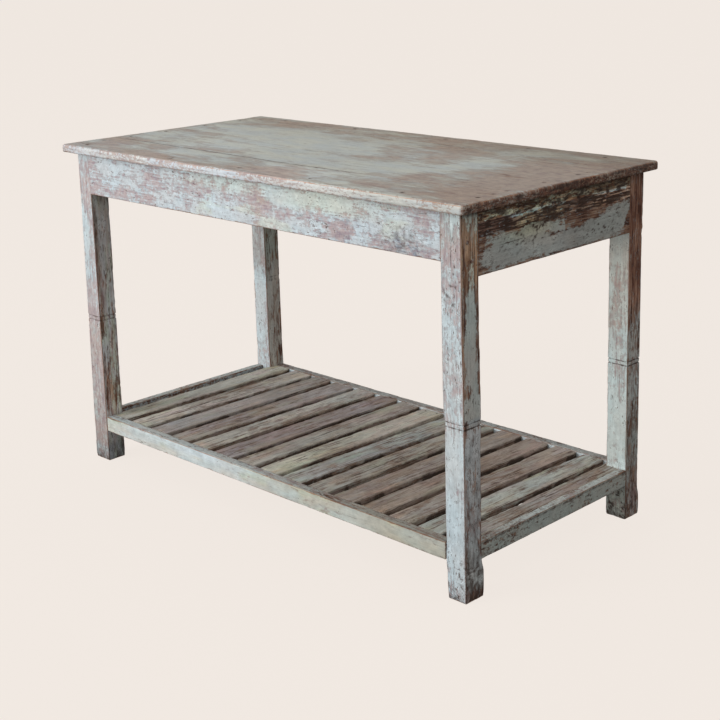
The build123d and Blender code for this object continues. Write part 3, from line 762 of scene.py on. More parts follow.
        r_items = [(X, -250, 560, 1, 12, 90, 0.3), (X, -270, 480, 1, 6, 120, -0.6), (X, -256, 300, 1, 14, 90, 0.2),
                   (X, -240, 200, 1, 6, 90, -0.4), (X, -256, 150, 1, 30, 40, -0.5), (X, -256, 55, 1, 20, 30, 0.6)]
        paint = fr * (0.0 + blobs(G, f_items, seed=seed, warp=6)) + rt * (0.22 + 0.8 * blobs(G, r_items, seed=seed + 2, warp=5))
        paint += (lf + bk) * 0.1
        pink = fr * 1.0 + rt * 0.35 + lf * 0.6 + bk * 0.3
        tone = rt * 0.92 - fr * (0.06 + 0.38 * (1 - sstep(z, 100, 300)) + 0.2 * (1 - sstep(z, 50, 90)))
        paint += (fr + 0.8 * rt) * 1.2 * (1 - sstep(z, 26, 48)) * sstep(fbm(G / 9.0, seed + 8, 3), -0.25, 0.1)
        dirt = rt * (0.24 + 0.15 * sstep(z, 600, 650)) + fr * 0.5 * sole + (fr + rt) * 0.3 * (1 - sstep(z, 30, 60))
        dirt += 0.4 * rt * np.exp(-np.minimum(G[:, 1] - lo[1], hi[1] - G[:, 1]) / 3.0)
        tint = tinted(N, (rt, (1.06, 0.97, 0.93)), (rt * sstep(fbm(G / np.array([30.0, 9, 80]), seed + 5, 3), -0.05, 0.3), (0.93, 0.97, 0.86)),
                      (rt * sstep(fbm(G / np.array([30.0, 7, 60]), seed + 6, 3), 0.0, 0.3), (0.94, 0.86, 0.82)),
                      ((fr + rt) * (1 - sstep(z, 28, 46)), (1.04, 1.1, 1.16)),
                      (rt * (1 - sstep(v, 0.08, 0.34)) * sstep(z, 370, 430) * (1 - sstep(z, 590, 640)), (0.72, 0.62, 0.58)), (rt * sstep(z, 560, 640), (0.95, 0.94, 0.88)), (rt, (1.05, 1.05, 1.07)), (fr * np.exp(-((z - 650) / 50.0) ** 2), (1.07, 1.09, 1.08)), (fr * np.exp(-((z - 285) / 50.0) ** 2), (0.94, 0.94, 0.93)),
                      (fr * (1 - sstep(z, 330, 350)), (1.02, 0.99, 0.955)), (fr * (1 - sstep(z, 60, 200)), (1.0, 0.98, 0.95)),
                      (fr * sstep(z, 600, 680), (1.02, 0.985, 0.985)))
    elif name == "back_right":
        f_items = [
            (565, Y, 590, 30, 1, 40, 0.9), (564, Y, 520, 11, 1, 60, -0.35), (548, Y, 500, 7, 1, 160, 0.5),
            (578, Y, 470, 7, 1, 120, 0.3), (560, Y, 440, 20, 1, 40, -0.2), (565, Y, 360, 40, 1, 18, 0.7),
            (552, Y, 385, 8, 1, 25, 0.8), (568, Y, 388, 10, 1, 10, -0.3), (562, Y, 305, 22, 1, 30, -0.1),
            (565, Y, 190, 40, 1, 90, 0.8), (565, Y, 40, 40, 1, 40, 0.1),
        ]
        r_items = [
            (X, 256, 560, 1, 40, 130, -1.2), (X, 272, 470, 1, 8, 50, 0.3), (X, 256, 385, 1, 40, 50, 0.3),
            (X, 256, 230, 1, 40, 80, 0.35), (X, 277, 660, 1, 3, 60, 1.3), (X, 256, 60, 1, 40, 60, -0.4),
            (X, 250, 690, 1, 40, 60, -1.2),
        ]
        paint = fr * (0.1 + blobs(G, f_items, seed=seed, warp=6)) + rt * (-0.15 + blobs(G, r_items, seed=seed + 2, warp=6))
        paint += (lf + bk) * 0.1
        paint += rt * 1.7 * sstep(v, 0.91, 0.975) * sstep(z, 405, 450) * (0.55 + 0.45 * fbm(G / np.array([20.0, 20, 26]), seed + 6, 3))
        paint += fr * 0.7 * (1 - sstep(z, 30, 66)) * sstep(fbm(G / 11.0, seed + 7, 3), -0.1, 0.3)
        pink = fr * 1.25 + rt * (0.05 + 0.3 * (1 - sstep(z, 330, 440))) + lf * 0.5 + bk * 0.3
        # the front face is lighter above z 400, where the front apron's shade falls, and much lighter at the foot under
        # the shelf rail: painted light
        tone = rt * (-0.02 + 0.16 * sstep(z, 345, 365) * (1 - sstep(z, 470, 510)) - 0.46 * sstep(z, 60, 110) * (1 - sstep(z, 215, 260))) + fr * (0.06 * sstep(z, 400, 450) - 0.07 * (1 - sstep(z, 200, 260)) + 0.5 * (1 - sstep(z, 62, 76)))
        dirt = rt * (0.12 + 0.1 * (1 - sstep(z, 330, 350)) + 0.3 * (1 - sstep(z, 40, 140))) + fr * 0.4 * sole
        dirt += fr * 0.34 * (1 - sstep(z, 62, 76))
        flecks = sstep(fbm(G / np.array([3.2, 3.2, 5.0]), seed + 77, 2), 0.2, 0.5)
        dirt += 0.6 * flecks * (fr * (1 - sstep(z, 62, 70)) + rt * 0.45)
        row = np.exp(-((z - 266) / 3.2) ** 2) * sstep(vnoise(G / np.array([4.2, 50, 50]), 67), 0.0, 0.5) * fr
        dirt += row * 0.9
        # the foot's front is also tinted lighter: painted light under the shelf rail
        tint = tinted(N, (fr * (1 - sstep(z, 395, 430)), (1.0, 1.01, 0.955)), (fr * sstep(z, 395, 430), (1.04, 0.985, 0.89)),
                      (fr * (1 - sstep(z, 60, 95)), (1.0, 0.97, 0.92)),
                      (rt * sstep(z, 440, 480), (0.98, 0.79, 0.70)), (rt * (1 - sstep(z, 400, 440)), (1.0, 0.935, 0.87)), (rt * sstep(z, 350, 370) * (1 - sstep(z, 440, 480)), (0.93, 0.90, 0.88)),
                      (rt * (1 - sstep(z, 330, 350)), (1.1, 1.12, 1.12)), (rt * (1 - sstep(z, 30, 60)), (1.2, 1.22, 1.25)), (fr * sstep(z, 110, 140) * (1 - sstep(z, 225, 250)), (0.95, 0.94, 0.93)),
                      (fr * (1 - sstep(z, 62, 76)), (1.05, 1.06, 1.04)), (fr * np.exp(-((z - 560) / 60.0) ** 2), (1.06, 1.0, 0.97)))
    else:
        f_items = [
            (-565, Y, 570, 12, 1, 110, -0.7), (-582, Y, 500, 6, 1, 200, 0.3), (-550, Y, 450, 6, 1, 120, 0.1),
            (-565, Y, 430, 20, 1, 60, -0.35), (-565, Y, 300, 18, 1, 110, 0.6), (-565, Y, 180, 40, 1, 50, 0.2),
        ]
        paint = fr * (0.15 + blobs(G, f_items, seed=seed, warp=6)) + rt * 0.3 + (lf + bk) * 0.1
        pink = fr * 1.1 + rt * (0.3 - 0.3 * sstep(z, 330, 480)) + lf * 0.5 + bk * 0.3
        # the front face is darker above z 330 to 400: painted shade of the front apron
        tone = rt * (0.42 - 0.36 * sstep(z, 400, 560)) + fr * (0.04 - 0.5 * sstep(z, 330, 400) + 0.12 * sstep(z, 480, 560))
        dirt = rt * (0.2 + 0.25 * sstep(z, 430, 600))
        tint = tinted(N, (rt * sstep(z, 360, 430), (0.76, 0.74, 0.64)), (rt * sstep(z, 540, 630), (0.74, 0.75, 0.70)), (rt * (1 - sstep(z, 360, 430)), (0.96, 0.86, 0.78)),
                      (rt * sstep(fbm(G / np.array([30.0, 8, 60]), seed + 6, 3), 0.0, 0.3), (0.9, 0.84, 0.8)),
                      (fr * sstep(z, 350, 420), (1.03, 0.975, 0.935)))
    if name == "front_left":
        scr = scr * (1 - 0.6 * rt)
    dirt = dirt + (0.35 if name == "back_left" else 1.0) * scr * (0.7 + 0.3 * vnoise(G / 7.0, seed + 95))
    # streaks run longer down the sides than down the front
    flank = np.clip(rt + lf, 0, 1)
    p.finish(M_FRAME, "frame_paint", tint=tint, squeeze=1.25 - (0.8 if name.endswith("left") else 0.45) * flank,
             paint=paint, pink=pink, tone=tone, dirt=dirt)


leg("front_right", 11)
leg("front_left", 23)
leg("back_right", 37)
leg("back_left", 53)


# --- aprons ----------------------------------------------------------------
def apron_long(node, seed):
    lo, hi = node_box(node)
    lo[0], hi[0] = -541.65, 538.85
    p = Piece(node + "_worn", node, "x", seed, lo, hi, step=4.5, cross_step=4.0, arris=1.2, wear=0.8)
    p.undulate(0.45, 0.2)
    G = p.G
    fr, bk, lf, rt, up, dn = face_dirs(p.n)
    N = len(G)
    Y = None
    tint = np.ones((N, 3))
    if node == "front_apron":
        items = [
            (-468, Y, 720, 42, 1, 15, 1.5), (-525, Y, 700, 26, 1, 60, -0.5), (-350, Y, 724, 60, 1, 10, 0.15),
            (-410, Y, 691, 60, 1, 7, 0.5), (-400, Y, 664, 150, 1, 11, -0.6), (-300, Y, 700, 40, 1, 16, -0.4),
            (-245, Y, 663, 50, 1, 13, 0.6), (-250, Y, 732, 60, 1, 8, 0.3), (-160, Y, 705, 50, 1, 14, -0.45),
            (-105, Y, 674, 46, 1, 20, 0.7), (-90, Y, 733, 80, 1, 8, 0.3), (-30, Y, 694, 40, 1, 12, -0.5),
            (-10, Y, 662, 40, 1, 12, 0.4), (45, Y, 700, 34, 1, 20, -0.95), (60, Y, 665, 40, 1, 12, 0.2),
            (150, Y, 718, 60, 1, 16, 0.8), (130, Y, 690, 40, 1, 10, -0.35), (110, Y, 662, 60, 1, 12, 0.4),
            (205, Y, 668, 40, 1, 16, 0.6), (235, Y, 725, 60, 1, 14, 0.6), (288, Y, 672, 34, 1, 20, -1.0),
            (330, Y, 724, 60, 1, 12, 0.7), (375, Y, 690, 34, 1, 16, 0.3), (432, Y, 700, 46, 1, 22, 0.55),
            (395, Y, 660, 40, 1, 9, -0.5), (470, Y, 737, 50, 1, 8, -0.6), (505, Y, 668, 26, 1, 14, -0.5),
            (495, Y, 715, 18, 1, 22, -0.5), (532, Y, 700, 8, 1, 40, 0.4), (90, Y, 680, 2.2, 1, 16, 1.2),
            (450, Y, 664, 40, 1, 12, 0.2),
        ]
        paint = fr * 1.25 * blobs(G, items, seed=seed, warp=8.0)
        pink = fr * 1.0
        tone = fr * (0.05 * fbm(G / 60.0, seed, 3) - 0.06 * sstep(G[:, 0], 250, 480))
        # darker right under the top and in the joints with the legs: painted shade, with grime
        dirt = fr * (0.35 * np.exp(-np.abs(G[:, 2] - hi[2]) / 4.0) + 0.25 * np.exp(-np.abs(np.abs(G[:, 0]) - 540.0) / 3.0)
                     + 0.42 * np.exp(-((G[:, 0] - 440) / 70.0) ** 2) * (1 - sstep(G[:, 2], 690, 715)))
        x, z = G[:, 0], G[:, 2]
        warm = np.exp(-((x - 230) / 150.0) ** 2) * sstep(z, 690, 712)
        warm = np.maximum(warm, 0.7 * np.exp(-((x + 40) / 150.0) ** 2) * sstep(z, 700, 722))
        warm = np.maximum(warm, 0.7 * sstep(fbm(G / np.array([60.0, 30, 22]), seed + 43, 3), 0.1, 0.4) * sstep(x, -300, -200))
        slate = sstep(fbm(G / np.array([15.0, 30, 6.0]), seed + 61, 3), 0.02, 0.26)
        slate = slate * np.clip(np.exp(-((x - 455) / 55.0) ** 2) * (1 - sstep(z, 672, 690)) + 0.6 * np.exp(-((x - 300) / 40.0) ** 2) * (1 - sstep(z, 690, 705)), 0, 1)
        tint = tinted(N, (fr * warm, CREAMY), (fr * (1 - warm) * 0.6, LILAC), (fr * slate, (0.58, 0.63, 0.72)))
        tone += fr * 0.05
        paint += (bk + dn) * (-0.3)
        chipf = fbm(G / np.array([15.0, 30, 9.0]), seed + 41, 3)
        paint += fr * 0.9 * chipf
        pink += bk * 0.2
        tone += bk * (-0.15)
        dirt += bk * 0.2
    else:
        paint = bk * (0.15 + 0.35 * fbm(G / np.array([70.0, 30, 22]), seed, 3)) + (fr + dn) * (-0.35)
        pink = bk * 0.9 + fr * 0.15
        tone = fr * (-0.15)
        # the back face is darker right under the top: painted shade
        dirt = fr * 0.25 + bk * 0.3 * np.exp(-np.abs(G[:, 2] - hi[2]) / 4.0)
    p.finish(M_FRAME, "frame_paint", tint=tint, squeeze=1.6 if node == "front_apron" else 1.0, paint=paint, pink=pink, tone=tone, dirt=dirt)


def apron_end(node, seed):
    lo, hi = node_box(node)
    lo[1], hi[1] = -233.8, 233.8
    p = Piece(node + "_worn", node, "y", seed, lo, hi, step=3.6, cross_step=3.4, arris=1.3, wear=0.9,
              extra=[("z", 708.0, 19.0), ("z", 733.0, 3.0)], near=1.0)
    p.undulate(0.5, 0.25)
    G = p.G
    fr, bk, lf, rt, up, dn = face_dirs(p.n)
    out = rt if node.startswith("right") else lf
    inn = lf if node.startswith("right") else rt
    y, z = G[:, 1], G[:, 2]
    N = len(G)
    tint = np.ones((N, 3))
    # raised grain and open checks across the upper band
    for z0, y0, y1, dep in ((719.5, -500, 500, 0.9), (733.5, -500, 500, 0.6), (703.0, -228, 60, 0.8), (694.0, -60, 190, 0.6)):
        wob = (0.3 if z0 > 719 else 1.6) * vnoise(np.stack([y / 60.0, z * 0, z * 0], -1), seed + int(z0))
        m = sstep(y, y0, y0 + 30) * (1 - sstep(y, y1 - 30, y1))
        p.groove(z - z0 - wob, dep * m * out, 1.4)
    band = sstep(z, 688, 696) * (1 - sstep(z, 715, 719))
    rg = 1 - 2.4 * np.abs(fbm(G / np.array([60.0, 46.0, 4.2]), seed + 71, 2))
    p.P = p.P - p.n * (1.3 * band * out * np.clip(rg, 0, 1) ** 1.5)[:, None]
    rgd = np.clip(rg, 0, 1) ** 1.5 * band
    X = None
    if node.startswith("left"):
        p.P[:, 2] += 3.0 * (1 - sstep(z, lo[2], lo[2] + 12.0))
    if node.startswith("right"):
        items = [
            (X, 0, 727, 1, 400, 7, 0.1), (X, 0, 720.5, 1, 400, 1.6, 1.0), (X, 0, 706, 1, 400, 13, -1.8),
            (X, -130, 655, 1, 92, 30, 2.0), (X, -50, 684, 1, 55, 13, 1.3), (X, 30, 640, 1, 90, 20, 1.7),
            (X, 150, 650, 1, 80, 24, 1.7), (X, 190, 672, 1, 40, 18, 1.3), (X, 85, 682, 1, 60, 14, -1.8),
            (X, 62, 658, 1, 24, 11, -1.3), (X, -229, 660, 1, 12, 60, -2.0), (X, 229, 640, 1, 12, 30, -2.0),
            (X, -205, 628, 1, 30, 8, -1.0), (X, 200, 632, 1, 40, 8, -0.9), (X, 0, 621, 1, 400, 3, -0.6),
            (X, 18, 674, 1, 2.2, 16, 2.0), (X, -205, 671, 1, 10, 7, -1.2), (X, -65, 712, 1, 35, 8, 0.5),
        ]
        f = blobs(G, items, seed=seed, warp=9.0)
        crumbs = sstep(fbm(G / np.array([30.0, 7.0, 3.6]), seed + 95, 3), 0.2, 0.42)
        high = sstep(z, 688, 694)
        paint = out * (-0.25 + f + 2.6 * crumbs * high * (0.45 + 0.55 * (1 - sstep(y, 20, 120))) * (1 - 0.6 * sstep(z, 716, 722)))
        # darker over the top strip and right under the top: painted shade of the top's overhang
        dirt = out * (0.1 * band + 1.1 * rgd + 0.42 * sstep(z, 718, 722) + 0.5 * np.exp(-np.abs(z - hi[2]) / 5.0)
                      + 0.22 + 0.25 * np.exp(-((y + 60) / 60.0) ** 2) * np.exp(-((z - 690) / 12.0) ** 2))
        warts = sstep(fbm(G / np.array([30.0, 6.0, 4.2]), seed + 91, 2), 0.2, 0.42) * sstep(f, 0.2, 0.8)
        warts = warts * (0.35 + 0.65 * np.exp(-((y + 70) / 90.0) ** 2) * np.exp(-((z - 692) / 22.0) ** 2)
                         + 0.5 * np.exp(-((y - 140) / 60.0) ** 2) * np.exp(-((z - 648) / 12.0) ** 2))
        dirt = dirt + out * 0.95 * warts
        holes = sstep(fbm(G / np.array([30.0, 12.0, 4.4]), seed + 97, 3), 0.12, 0.34)
        dirt = dirt + out * 0.8 * holes * high
        strip = sstep(z, 716, 722)
        tone = out * (1.25 * strip * (1 - 0.72 * sstep(y, 20, 140)) + band * (0.3 + 0.55 * np.exp(-((y + 40) / 70.0) ** 2) + 0.75 * sstep(y, 90, 150)) - 0.12 * sstep(y, 0, 120)
                      + 0.08 * (1 - sstep(z, 690, 696)) * np.exp(-((y + 60) / 60.0) ** 2))
        green = np.exp(-((y + 90) / 80.0) ** 2) * np.exp(-((z - 682) / 16.0) ** 2)
        tint = tinted(N, (out * (1 - sstep(z, 700, 718)), (1.0, 0.965, 0.905)), (out * green, (1.03, 1.0, 0.82)),
                      (out * sstep(z, 716, 722), (1.02, 0.97, 0.82)), (out * band * (1 - sstep(y, -60, 60)), (0.93, 0.9, 0.93)), (out * band * (1 - sstep(y, -150, -100)), (0.88, 0.91, 0.95)), (out * (1 - sstep(z, 690, 696)) * np.exp(-((y + 55) / 50.0) ** 2), (1.09, 1.06, 1.04)),
                      (out * strip, (1.45, 1.42, 1.22)), (out * strip * sstep(y, -10, 90), (0.82, 0.74, 0.72)), (out * strip * sstep(y, 90, 150), (0.96, 0.86, 0.8)), (out * band * sstep(y, -20, 60), (1.04, 0.95, 0.91)), (out * band * (1 - sstep(y, -10, 30)) * sstep(y, -150, -100), (1.48, 1.84, 1.64)),
                      (out * band * sstep(y, -10, 30) * (1 - sstep(y, 90, 130)), (1.08, 1.28, 1.36)), (out * band * sstep(y, 90, 130), (1.6, 1.84, 1.86)),
                      (out * (1 - sstep(z, 690, 696)) * sstep(y, 0, 60), (0.97, 0.92, 0.885)), (out * (1 - sstep(z, 690, 696)) * np.exp(-((y - 60) / 50.0) ** 2), (0.92, 0.92, 0.93)))
    else:
        paint = out * (0.1 + 0.4 * fbm(G / np.array([20.0, 60, 24]), seed, 3))
        dirt = out * (0.3 * np.exp(-((z - 706) / 18.0) ** 2))
        tone = out * 0.0
    pink = out * (0.08 if node.startswith("right") else 0.6) + inn * 0.15
    paint = paint + (inn + dn) * (-0.3)
    tone = tone - 0.12 * inn
    dirt = dirt + inn * 0.25
    p.finish(M_FRAME, "frame_paint", tint=tint, paint=paint, pink=pink, tone=tone, dirt=dirt)


apron_long("front_apron", 101)
apron_long("back_apron", 113)
apron_end("left_end_apron", 127)
apron_end("right_end_apron", 131)


# --- worktop ---------------------------------------------------------------
TOP_L, TOP_W, TOP_Z, TOP_H = 1222.0, 604.0, 743.5, 762.0
CORNER = 9.0
HX, HY = TOP_L / 2, TOP_W / 2


def seam_front(x):
    return np.interp(x, [-HX, -450, -307, 27, 318, HX], [-157, -162, -167, -175, -174, -172])


def seam_back(x):
    return np.interp(x, [-HX, 0, HX], [251.0, 212.0, 168.0])


TOP_NAILS = [
    (581.0, 101.0), (581.0, 70.0), (581.0, -37.0), (581.0, -145.0), (581.0, -182.0), (581.0, -226.0),
    (-578.0, 205.0), (-579.0, 92.0), (-578.0, -28.0), (-580.0, -128.0), (-578.0, -205.0),
    (-552.0, -270.5), (-232.0, -271.0), (-15.0, -270.5), (196.0, -271.0), (440.0, -270.0),
    (-480.0, 270.5), (-230.0, 269.5), (60.0, 270.0), (300.0, 268.5), (500.0, 269.5),
]


def disc_corner(a, b):
    """A unit square corner drawn in to a quarter disc."""
    return a * np.sqrt(1 - b * b / 2), b * np.sqrt(1 - a * a / 2)


def fall(d, r):
    """How far a rounded arris of radius r has dropped, a distance d in from its edge."""
    q = np.clip(1 - d / r, 0, 1)
    return r * (1 - np.sqrt(np.clip(1 - q * q, 0, 1)))


def top_board(which, seed):
    node = "top_board_" + which
    lower = (lambda x: x * 0 - HY) if which == "front" else (seam_front if which == "middle" else seam_back)
    upper = (lambda x: x * 0 + HY) if which == "back" else (seam_back if which == "middle" else seam_front)
    gap = 0.16
    nose = (0.0, 0.25, 0.8, 1.7, 2.9, 4.4, 6.2, 9.0)
    ylo, yhi = float(lower(np.array([0.0]))[0]), float(upper(np.array([0.0]))[0])
    mine = [(x, y) for x, y in TOP_NAILS if float(lower(np.array([x]))[0]) < y < float(upper(np.array([x]))[0])]
    exx = [(x, 4.5) for x, y in mine]
    exy = [(y, 4.5) for x, y in mine]
    X = spread(-HX, HX, 4.5, nose, exx, 1.1)
    Yl = spread(ylo, yhi, 4.5, nose, exy if which != "middle" else (), 1.1)
    Z = np.array([TOP_Z, TOP_Z + 3.2, TOP_Z + 6.0, TOP_Z + 9.0, TOP_H - 6.6, TOP_H - 4.0, TOP_H])
    G, F = grid_box(X, Yl, Z)
    x = G[:, 0]
    s = (G[:, 1] - ylo) / (yhi - ylo)
    a, b = lower(x) + (gap if which != "front" else 0), upper(x) - (gap if which != "back" else 0)
    y = a + s * (b - a)
    # an outer long side keeps its own grid lines, so that the nose stays even
    if which == "front":
        y = np.where(G[:, 1] < -HY + 60, G[:, 1], -HY + 60 + (G[:, 1] + HY - 60) * (b + HY - 60) / (yhi + HY - 60))
    elif which == "back":
        y = np.where(G[:, 1] > HY - 60, G[:, 1], HY - 60 + (G[:, 1] - HY + 60) * (a - HY + 60) / (ylo - HY + 60))
    # the plan corners
    x2, y2 = x.copy(), y.copy()
    for sx in (-1, 1):
        for sy in (-1, 1):
            if (sy < 0 and which != "front") or (sy > 0 and which != "back"):
                continue
            ca, cb = (sx * x - (HX - CORNER)) / CORNER, (sy * y - (HY - CORNER)) / CORNER
            k = (ca > 0) & (cb > 0)
            da, db = disc_corner(np.clip(ca[k], 0, 1), np.clip(cb[k], 0, 1))
            x2[k], y2[k] = sx * (HX - CORNER + CORNER * da), sy * (HY - CORNER + CORNER * db)
    # distance in from the outer edge of the whole top
    qx, qy = np.abs(x2) - (HX - CORNER), np.abs(y2) - (HY - CORNER)
    sd = -(np.hypot(np.maximum(qx, 0), np.maximum(qy, 0)) + np.minimum(np.maximum(qx, qy), 0) - CORNER)
    sd = np.maximum(sd, 0)
    Q = np.stack([x2, y2, G[:, 2] * 0], -1)
    w1 = fbm(Q / 60.0, 900, 3)          # the same on all three boards, so that the nose runs on
    w2 = fbm(Q / 17.0, 930, 3)
    r_up = np.clip(6.2 + 2.0 * w1 + 1.2 * w2, 3.0, 9.0)
    r_lo = np.clip(3.4 + 1.4 * fbm(Q / 40.0, 960, 3), 1.4, 6.0)
    # the seams' own small arrises
    ds = np.full(len(G), 1e3)
    if which != "front":
        ds = np.minimum(ds, np.abs(y2 - a))
    if which != "back":
        ds = np.minimum(ds, np.abs(b - y2))
    rs = np.clip(1.2 + 0.5 * fbm(Q / 30.0, 980, 2), 0.6, 2.0) * (1 - 0.45 * sstep(x2, 0, 300))
    top = G[:, 2] > TOP_H - 0.01
    bot = G[:, 2] < TOP_Z + 0.01
    du = np.maximum(fall(sd, r_up), fall(ds, rs))
    dl = np.maximum(fall(sd, r_lo), fall(ds, rs * 0.6))
    # slow wave and wear of the surface
    wave = 0.35 * (0.5 + 0.5 * fbm(Q / np.array([260.0, 60.0, 1.0]), seed, 3))
    ridges = 0.18 * (0.5 + 0.5 * fbm(Q / np.array([90.0, 5.0, 1.0]), seed + 5, 3))
    dents = 0.45 * sstep(fbm(Q / np.array([16.0, 9.0, 1.0]), seed + 9, 2), 0.42, 0.72)
    cup = 0.25 * np.cos((y2 - (a + b) / 2) / np.maximum(b - a, 1) * math.pi)
    drop = wave + ridges + dents + 0.25 - cup
    for nx, ny in mine:
        d = np.hypot(x2 - nx, y2 - ny)
        drop += 0.95 * (1 - sstep(d, 2.4, 4.0))
    # a few knots, splits and gouges: (x, y, half length, half width, depth)
    gouges = ((522, -49, 15, 3.0, 1.3), (456, -139, 8, 2.4, 0.9), (485, -207, 11, 2.2, 0.9), (-307, -10, 11, 2.6, 0.8),
              (-260, -100, 9, 2.2, 0.6), (-150, 35, 9, 3.0, 0.6), (135, 30, 10, 2.4, 0.7), (205, -8, 10, 2.4, 0.7),
              (395, 195, 14, 3.0, 0.9), (-236, -281, 16, 4.0, 1.0), (-15, -284, 12, 3.5, 0.8), (-556, -284, 10, 4.0, 0.9))
    mark = np.zeros(len(G))
    for gx, gy, hl, hw, dep in gouges:
        d = np.hypot((x2 - gx + 1.5 * w2) / hl, (y2 - gy - 0.12 * (x2 - gx)) / hw)
        v = 1 - sstep(d, 0.2, 1.1)
        drop += dep * v
        mark = np.maximum(mark, v)
    zt, zb = TOP_H - r_up, TOP_Z + r_lo
    z = np.where(top, TOP_H - np.maximum(du, 0) - drop * np.clip(1 - fall(sd, r_up) / r_up, 0, 1),
                 np.where(bot, TOP_Z + dl, zb + (G[:, 2] - TOP_Z) / (TOP_H - TOP_Z) * (zt - zb)))
    # seam walls go straight down between the arrises
    wall = (~top) & (~bot) & (sd > 0.01)
    z[wall] = (TOP_Z + 0.6) + (G[wall, 2] - TOP_Z) / (TOP_H - TOP_Z) * (TOP_H - TOP_Z - 2.6)
    P = np.stack([x2, y2, z], -1)
    n = normals_of(P, F)
    # nicks along the nose
    e = np.exp(-sd / 3.5)
    nick = sstep(fbm(np.stack([x2, y2, z], -1) / np.array([15.0, 15.0, 6.0]), 990, 3), 0.22, 0.6)
    edge_wave = 0.5 + 0.5 * fbm(Q / 120.0, 995, 2)
    P = P - n * (e * (1.1 * nick + 0.5 * edge_wave))[:, None] * (sd < 14)[:, None]
    P[:, 2] = np.minimum(P[:, 2], TOP_H)
    P[:, 0] = np.clip(P[:, 0], -HX, HX)
    P[:, 1] = np.clip(P[:, 1], -HY, HY)
    # paint fields
    N = len(G)
    Zn = None
    items = [
        # rubbed brown areas
        (0, 270, Zn, 640, 34, 1, -0.55), (-480, 215, Zn, 160, 50, 1, -0.5), (-150, 210, Zn, 160, 30, 1, -0.5),
        (200, 215, Zn, 200, 50, 1, -0.45), (150, 90, Zn, 130, 60, 1, -0.8), (260, 60, Zn, 60, 60, 1, -0.7),
        (480, 140, Zn, 160, 70, 1, -0.8), (540, 0, Zn, 90, 160, 1, -0.95), (450, -60, Zn, 90, 60, 1, -0.7),
        (430, -150, Zn, 120, 50, 1, -0.75), (330, -120, Zn, 50, 60, 1, -0.5), (480, -235, Zn, 170, 45, 1, -0.85),
        (300, -235, Zn, 70, 30, 1, -0.5), (560, -150, Zn, 60, 160, 1, -0.5), (0, -298, Zn, 640, 10, 1, -0.5),
        (-600, 0, Zn, 14, 300, 1, -0.35), (-530, -190, Zn, 80, 60, 1, -0.35), (-370, -200, Zn, 40, 16, 1, -0.5),
        # paint that has stayed
        (-100, -20, Zn, 380, 130, 1, 0.45), (-330, 120, Zn, 160, 90, 1, 0.4), (-60, -100, Zn, 300, 60, 1, 0.35),
        (-40, 180, Zn, 120, 40, 1, 0.4), (320, 190, Zn, 60, 18, 1, 0.7), (375, 245, Zn, 70, 26, 1, 0.55),
        (120, 135, Zn, 60, 22, 1, 0.4), (365, 60, Zn, 50, 36, 1, 0.6), (290, -40, Zn, 110, 50, 1, 0.5),
        (220, -120, Zn, 90, 50, 1, 0.35), (-60, 262, Zn, 90, 16, 1, 0.5), (-440, 270, Zn, 60, 16, 1, 0.4),
        (170, -225, Zn, 70, 30, 1, 0.45), (-200, -225, Zn, 240, 40, 1, 0.3), (440, -290, Zn, 30, 8, 1, 0.6),
    ]
    C = np.stack([x2, y2, z], -1)
    topw = np.clip(n[:, 2], 0, 1)
    paint = 0.12 + blobs(C, items, soft=0.5, seed=880, warp=26.0)
    frn, rgn = np.clip(-n[:, 1], 0, 1) ** 1.5, np.clip(n[:, 0], 0, 1) ** 1.5
    # the noses: pale at the front, bare and dark at the right end
    p_edge = 0.8 + 0.35 * sstep(x2, 520, 575) - 0.35 * sstep(x2, -50, 350) + 0.8 * fbm(C / np.array([26.0, 20.0, 8.0]), 885, 3)
    paint = np.where(sd < 7, paint * topw ** 4 + frn * p_edge + rgn * (-0.5 + 1.5 * fbm(C / 7.0, 886, 3)), paint)
    under = np.clip(-n[:, 2], 0, 1)
    paint = paint * (1 - under) - 0.4 * under
    pink = 0.85 * topw + 0.95 * frn + 0.05 * rgn + 0.1 * under
    rim = np.exp(-((sd - 3.0) / 3.2) ** 2) * topw
    dirt = 0.75 * mark * topw + 0.4 * rim * (0.5 + 0.5 * w2) * (1 - frn)
    dirt = dirt + 1.15 * np.exp(-np.maximum(ds - 1.1, 0) / 1.5) * topw * np.where(np.abs(y2 - seam_front(x2)) < 4, 0.86 - 0.64 * sstep(x2, 60, 330), 0.55)
    dirt = dirt + rgn * (0.35 + 0.45 * sstep(fbm(C / np.array([8.0, 24.0, 4.5]), 889, 3), 0.0, 0.35) + 0.25 * np.exp(-((y2 - 0) / 80.0) ** 2))
    for nx, ny in mine:
        dirt += 0.7 * (1 - sstep(np.hypot(x2 - nx, y2 - ny), 3.5, 8.0)) * topw
    tone = 0.06 * fbm(C / np.array([140.0, 60.0, 10.0]), 887, 3) - 0.15 * under - 0.25 * rgn
    tone = tone - topw * (0.08 * sstep(y2, 60, 240) + 0.12 * sstep(y2, 60, 240) * sstep(x2, -260, 200) + 0.2 * sstep(y2, 100, 240) * sstep(x2, 150, 330)
                          + 0.06 * sstep(x2, 300, 560) - 0.13 * (1 - sstep(y2, -200, -165)) * np.exp(-((x2 - 100) / 110.0) ** 2))
    edge = np.exp(-np.abs(fall(sd, r_up) - 0.29 * r_up) / 1.1) * (sd < 9) * (0.5 + 0.5 * sstep(x2, -330, -100)) + 0.2 * np.exp(-ds / 1.5)
    cool = np.clip(frn + 0.3 * np.exp(-((sd - 3.0) / 3.0) ** 2) * (y2 < -HY + 12), 0, 1) * (1 - 0.6 * sstep(x2, 150, 450))
